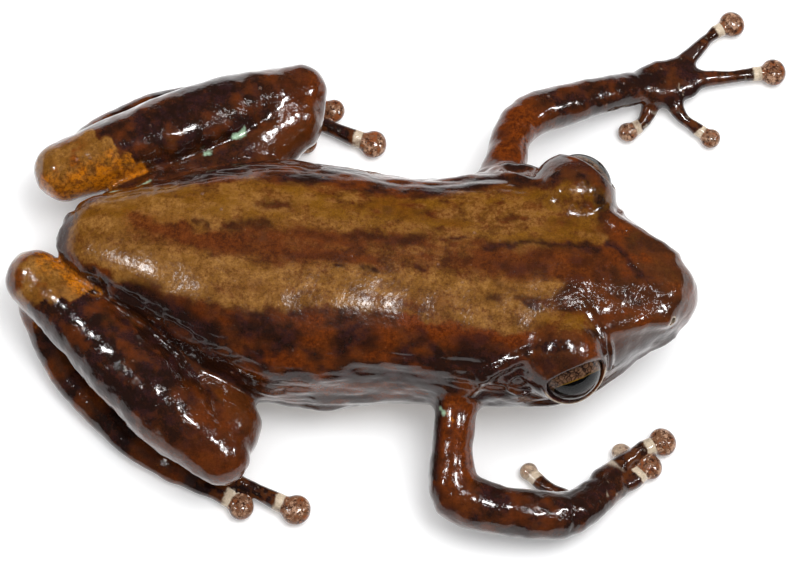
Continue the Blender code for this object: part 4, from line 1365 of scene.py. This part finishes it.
EYE_SPOKES = 120
IRIS_RINGS = 38
BALL_RINGS = 26
EYE_END = 0.03
IRIS_DEPTH = 0.76
IRIS_RADIUS = 1.16
IRIS_SWELL = 0.46
PUPIL = (0.98, 0.36)
PUPIL_DROP = 0.17
PUPIL_DEPTH = 0.12
CORNEA_SPOKES = 72
CORNEA_RINGS = 48
CORNEA_BULGE = 0.035


def make_eyeball(side):
    """The inside of an eye: a pebbled iris with a long pupil, and the dark ball behind it."""
    centre, forward, up, look = eye_axes(side)
    around = EYE_SPOKES
    inner = np.linspace(EYE_END, IRIS_RADIUS, IRIS_RINGS)
    profile = [(r, IRIS_DEPTH + IRIS_SWELL * (1 - (r / IRIS_RADIUS) ** 2)) for r in inner]
    ball = math.hypot(IRIS_RADIUS, IRIS_DEPTH)
    first = math.atan2(IRIS_RADIUS, IRIS_DEPTH)
    behind = np.linspace(first, math.pi - EYE_END, BALL_RINGS)[1:]
    profile += [(ball * math.sin(turn), ball * math.cos(turn)) for turn in behind]
    turns = np.linspace(0, 2 * math.pi, around, endpoint=False)
    radius = np.array([row[0] for row in profile])[:, None]
    depth = np.repeat(np.array([row[1] for row in profile])[:, None], around, axis=1)
    ahead = radius * np.cos(turns)
    above = radius * np.sin(turns)
    flat = np.stack([ahead, above, depth], axis=-1).reshape(-1, 3)
    iris = 1 - step(np.hypot(flat[:, 0], flat[:, 1]), IRIS_RADIUS - 0.05, IRIS_RADIUS)
    iris = iris * (flat[:, 2] > 0.5)
    drop = flat[:, 1] + PUPIL_DROP
    oval = np.hypot(flat[:, 0] / PUPIL[0], drop / PUPIL[1])
    slope = np.hypot(flat[:, 0] / PUPIL[0] ** 2, drop / PUPIL[1] ** 2) / np.maximum(oval, 0.01)
    gap = (oval - 1) / np.maximum(slope, 0.3)
    pupil = (1 - step(gap, -0.015, 0.015)) * iris
    patchy = lattice_noise(flat, 0.3, 9)
    lace = iris * (1 - step(gap, 0.02, 0.05 + 0.05 * patchy)) * (1 - pupil) * (0.6 + 0.4 * patchy)
    pebbles = lattice_noise(flat, 0.17, 3)
    flat[:, 2] += iris * (1 - pupil) * (0.06 * (pebbles - 0.5)) - PUPIL_DEPTH * pupil
    points = centre + flat[:, :1] * forward + flat[:, 1:2] * up + flat[:, 2:] * look
    rows = len(profile)
    quads = []
    for i in range(rows - 1):
        for k in range(around):
            here, beside = i * around + k, i * around + (k + 1) % around
            quads.append((here, beside, beside + around, here + around))
    mesh = bpy.data.meshes.new("eyeball")
    ends = [tuple(range(around))[::-1], tuple(range((rows - 1) * around, rows * around))]
    mesh.from_pydata([tuple(point) for point in points * MM], [], quads + ends)
    work = bmesh.new()
    work.from_mesh(mesh)
    bmesh.ops.recalc_face_normals(work, faces=work.faces)
    work.to_mesh(mesh)
    work.free()
    shade_smooth(mesh)
    upper = step(flat[:, 1], -0.25, 0.25)
    save_masks(mesh, {"iris": iris, "pupil": pupil, "lace": lace, "pebble": pebbles, "upper": upper})
    return mesh


def eyeball_material():
    material, tree, shader = new_material("iris")
    place = place_in_mm(tree)
    iris, pupil, lace, pebble, upper = (
        attribute(tree, name) for name in ("iris", "pupil", "lace", "pebble", "upper")
    )
    veins = noise(tree, place, 9.0, 3.0, 0.7)
    stones = cells(tree, place, 5.2, "DISTANCE_TO_EDGE")
    colour = mixed(tree, ramp(tree, stones, 0.03, 0.13), linear(34, 18, 10), linear(184, 134, 100))
    colour = mixed(tree, ramp(tree, pebble, 0.5, 0.9, 0.0, 0.7), colour, linear(210, 160, 122))
    colour = mixed(tree, ramp(tree, veins, 0.60, 0.40, 0.0, 0.6), colour, linear(58, 34, 18))
    colour = mixed(tree, lace, colour, linear(232, 176, 20))
    colour = mixed(tree, upper, linear(58, 40, 34), colour)
    colour = mixed(tree, iris, linear(30, 20, 18), colour)
    colour = mixed(tree, pupil, colour, linear(2, 2, 2))
    tree.links.new(colour, shader.inputs["Base Color"])
    shader.inputs["Specular IOR Level"].default_value = 0.15
    link_bump(tree, shader, veins, 0.6, 0.00002)
    shader.inputs["Roughness"].default_value = 0.45
    return material


def lowest_first(corners):
    """A face's corners in the same turn, from the one with the lowest number on."""
    first = corners.index(min(corners))
    return corners[first:] + corners[:first]


def make_cornea(side):
    """A clear ball round the eye that bulges a little where it looks out."""
    centre, forward, up, look = eye_axes(side)
    work = bmesh.new()
    bmesh.ops.create_uvsphere(work, u_segments=CORNEA_SPOKES, v_segments=CORNEA_RINGS, radius=1.0)
    turn = Matrix((-side * forward, up, look)).transposed()
    points = []
    for vertex in work.verts:
        place = np.array(vertex.co)
        bulge = CORNEA_BULGE * step(place[2], 0.45, 0.9)
        points.append((Vector(centre) + turn @ Vector(place * (EYE_RADIUS + bulge))) * MM)
    # Blender lists this ball's faces in another order each run, so they are sorted
    faces = sorted(lowest_first([vertex.index for vertex in face.verts]) for face in work.faces)
    work.free()
    mesh = bpy.data.meshes.new("cornea")
    mesh.from_pydata(points, [], faces)
    shade_smooth(mesh)
    return mesh


def cornea_material():
    """Clear wet cornea that lets light through to the iris."""
    material, tree, shader = new_material("cornea")
    shader.inputs["Base Color"].default_value = (0.12, 0.115, 0.115, 1.0)
    shader.inputs["Roughness"].default_value = 0.01
    shader.inputs["IOR"].default_value = 1.34
    shader.inputs["Transmission Weight"].default_value = 1.0
    place = place_in_mm(tree)
    link_bump(tree, shader, noise(tree, place, 1.2, 1.0), 0.3, 0.00001)
    rays = add_node(tree, "ShaderNodeLightPath").outputs
    clear = tree.nodes.new("ShaderNodeBsdfTransparent")
    passing = math_node(tree, "MAXIMUM", rays["Is Shadow Ray"], rays["Is Diffuse Ray"])
    both = add_node(tree, "ShaderNodeMixShader", {0: passing, 1: shader.outputs[0], 2: clear.outputs[0]})
    tree.links.new(both.outputs[0], tree.nodes["Material Output"].inputs["Surface"])
    return material


def add_eyes():
    iris = eyeball_material()
    clear = cornea_material()
    for side, name in ((1, "left"), (-1, "right")):
        for part, mesh, material in (
            ("ball", make_eyeball(side), iris),
            ("cornea", make_cornea(side), clear),
        ):
            mesh.materials.append(material)
            piece = place_in_scene(f"eye_{part}_{name}", mesh)
            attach(piece, "root")
            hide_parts(f"eye_{name}")


# The photo's camera: how far it leans over the frog's right side, how the frame is rolled, its
# distance, and the place at the middle of the photo
CAMERA_LEAN = math.radians(22.0)
CAMERA_ROLL = math.radians(5.75)
CAMERA_DISTANCE = 230.0
CAMERA_AIM = (1.246, -0.277, 3.388)
PHOTO_PIXELS_PER_MM = 24.4
SENSOR_WIDTH = 36.0


def add_camera():
    back = Vector((0, -math.sin(CAMERA_LEAN), math.cos(CAMERA_LEAN)))
    across = Vector((1, 0, 0))
    upright = Vector((0, math.cos(CAMERA_LEAN), math.sin(CAMERA_LEAN)))
    right = across * math.cos(CAMERA_ROLL) + upright * math.sin(CAMERA_ROLL)
    up = upright * math.cos(CAMERA_ROLL) - across * math.sin(CAMERA_ROLL)
    lens = bpy.data.cameras.new("camera")
    lens.sensor_width = SENSOR_WIDTH
    lens.lens = PHOTO_PIXELS_PER_MM * CAMERA_DISTANCE * SENSOR_WIDTH / PHOTO_WIDTH
    lens.clip_start = 0.01
    camera = place_in_scene("camera", lens)
    turn = Matrix((right, up, back)).transposed().to_4x4()
    turn.translation = (Vector(CAMERA_AIM) + back * CAMERA_DISTANCE) * MM
    camera.matrix_world = turn
    bpy.context.scene.camera = camera


WHITE = (1.0, 1.0, 1.0, 1.0)
FLOOR_COLOURS = ((0.88, 0.88, 0.885, 1), (0.90, 0.90, 0.903, 1))
FLOOR_GLOW = 0.20
SKY_COLOUR = (0.85, 0.92, 1.0, 1)
SKY_STRENGTH = 0.07
LIGHTS_AIM = (1, 0, 3)

# Lights: name, direction, distance, size, power, and whether they make glints or soft light
LIGHTS = (
    ("key_panel", (0.25, -0.03, 0.968), 235, (25, 40), 0.32, True),
    ("front_panel", (0.70, 0.05, 0.71), 235, (17, 30), 0.137, True),
    ("tail_panel", (-0.62, -0.08, 0.78), 235, (24, 26), 0.20, True),
    ("soft_key", (0.278, -0.03, 0.959), 235, (120, 120), 0.28, False),
    ("soft_fill", (0.0, 0.15, 1.0), 300, (560, 560), 1.60, False),
)
FLOOR_REACH = 600
FLOOR_GAP = 0.02


def add_area_light(name, direction, distance, size, power, glints):
    """A flat light in one direction, measured in millimetres, for glints or for soft light."""
    data = bpy.data.lights.new(name, "AREA")
    data.shape = "RECTANGLE"
    data.size = size[0] * MM
    data.size_y = size[1] * MM
    data.energy = power
    light = place_in_scene(name, data)
    toward = Vector(direction).normalized()
    light.location = (Vector(LIGHTS_AIM) + toward * distance) * MM
    light.rotation_euler = toward.to_track_quat("Z", "Y").to_euler()
    light.visible_glossy = glints
    light.visible_diffuse = not glints


def floor_material():
    material, tree, shader = new_material("white_board")
    place = place_in_mm(tree)
    paper = ramp(tree, noise(tree, place, 2.5, 3.0), 0.3, 0.7)
    tree.links.new(mixed(tree, paper, *FLOOR_COLOURS), shader.inputs["Base Color"])
    shader.inputs["Roughness"].default_value = 0.7
    shader.inputs["Emission Color"].default_value = WHITE
    shader.inputs["Emission Strength"].default_value = FLOOR_GLOW
    return material


def add_studio():
    mesh = bpy.data.meshes.new("floor")
    reach = FLOOR_REACH * MM
    corners = [(-reach, -reach, 0), (reach, -reach, 0), (reach, reach, 0), (-reach, reach, 0)]
    mesh.from_pydata(corners, [], [(0, 1, 2, 3)])
    mesh.materials.append(floor_material())
    floor = place_in_scene("floor", mesh)
    floor.location.z = -FLOOR_GAP * MM
    world = bpy.data.worlds.new("studio")
    world.use_nodes = True
    bpy.context.scene.world = world
    background = world.node_tree.nodes["Background"]
    background.inputs["Color"].default_value = SKY_COLOUR
    background.inputs["Strength"].default_value = SKY_STRENGTH
    for light in LIGHTS:
        add_area_light(*light)
    bpy.context.scene.view_settings.view_transform = "Standard"


FLESH_NODES = [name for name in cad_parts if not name.startswith("eye_")]
skin = make_skin()
skin.data.materials.append(skin_material())
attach(skin, "root")
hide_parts(*FLESH_NODES)
add_eyes()
add_studio()
add_camera()
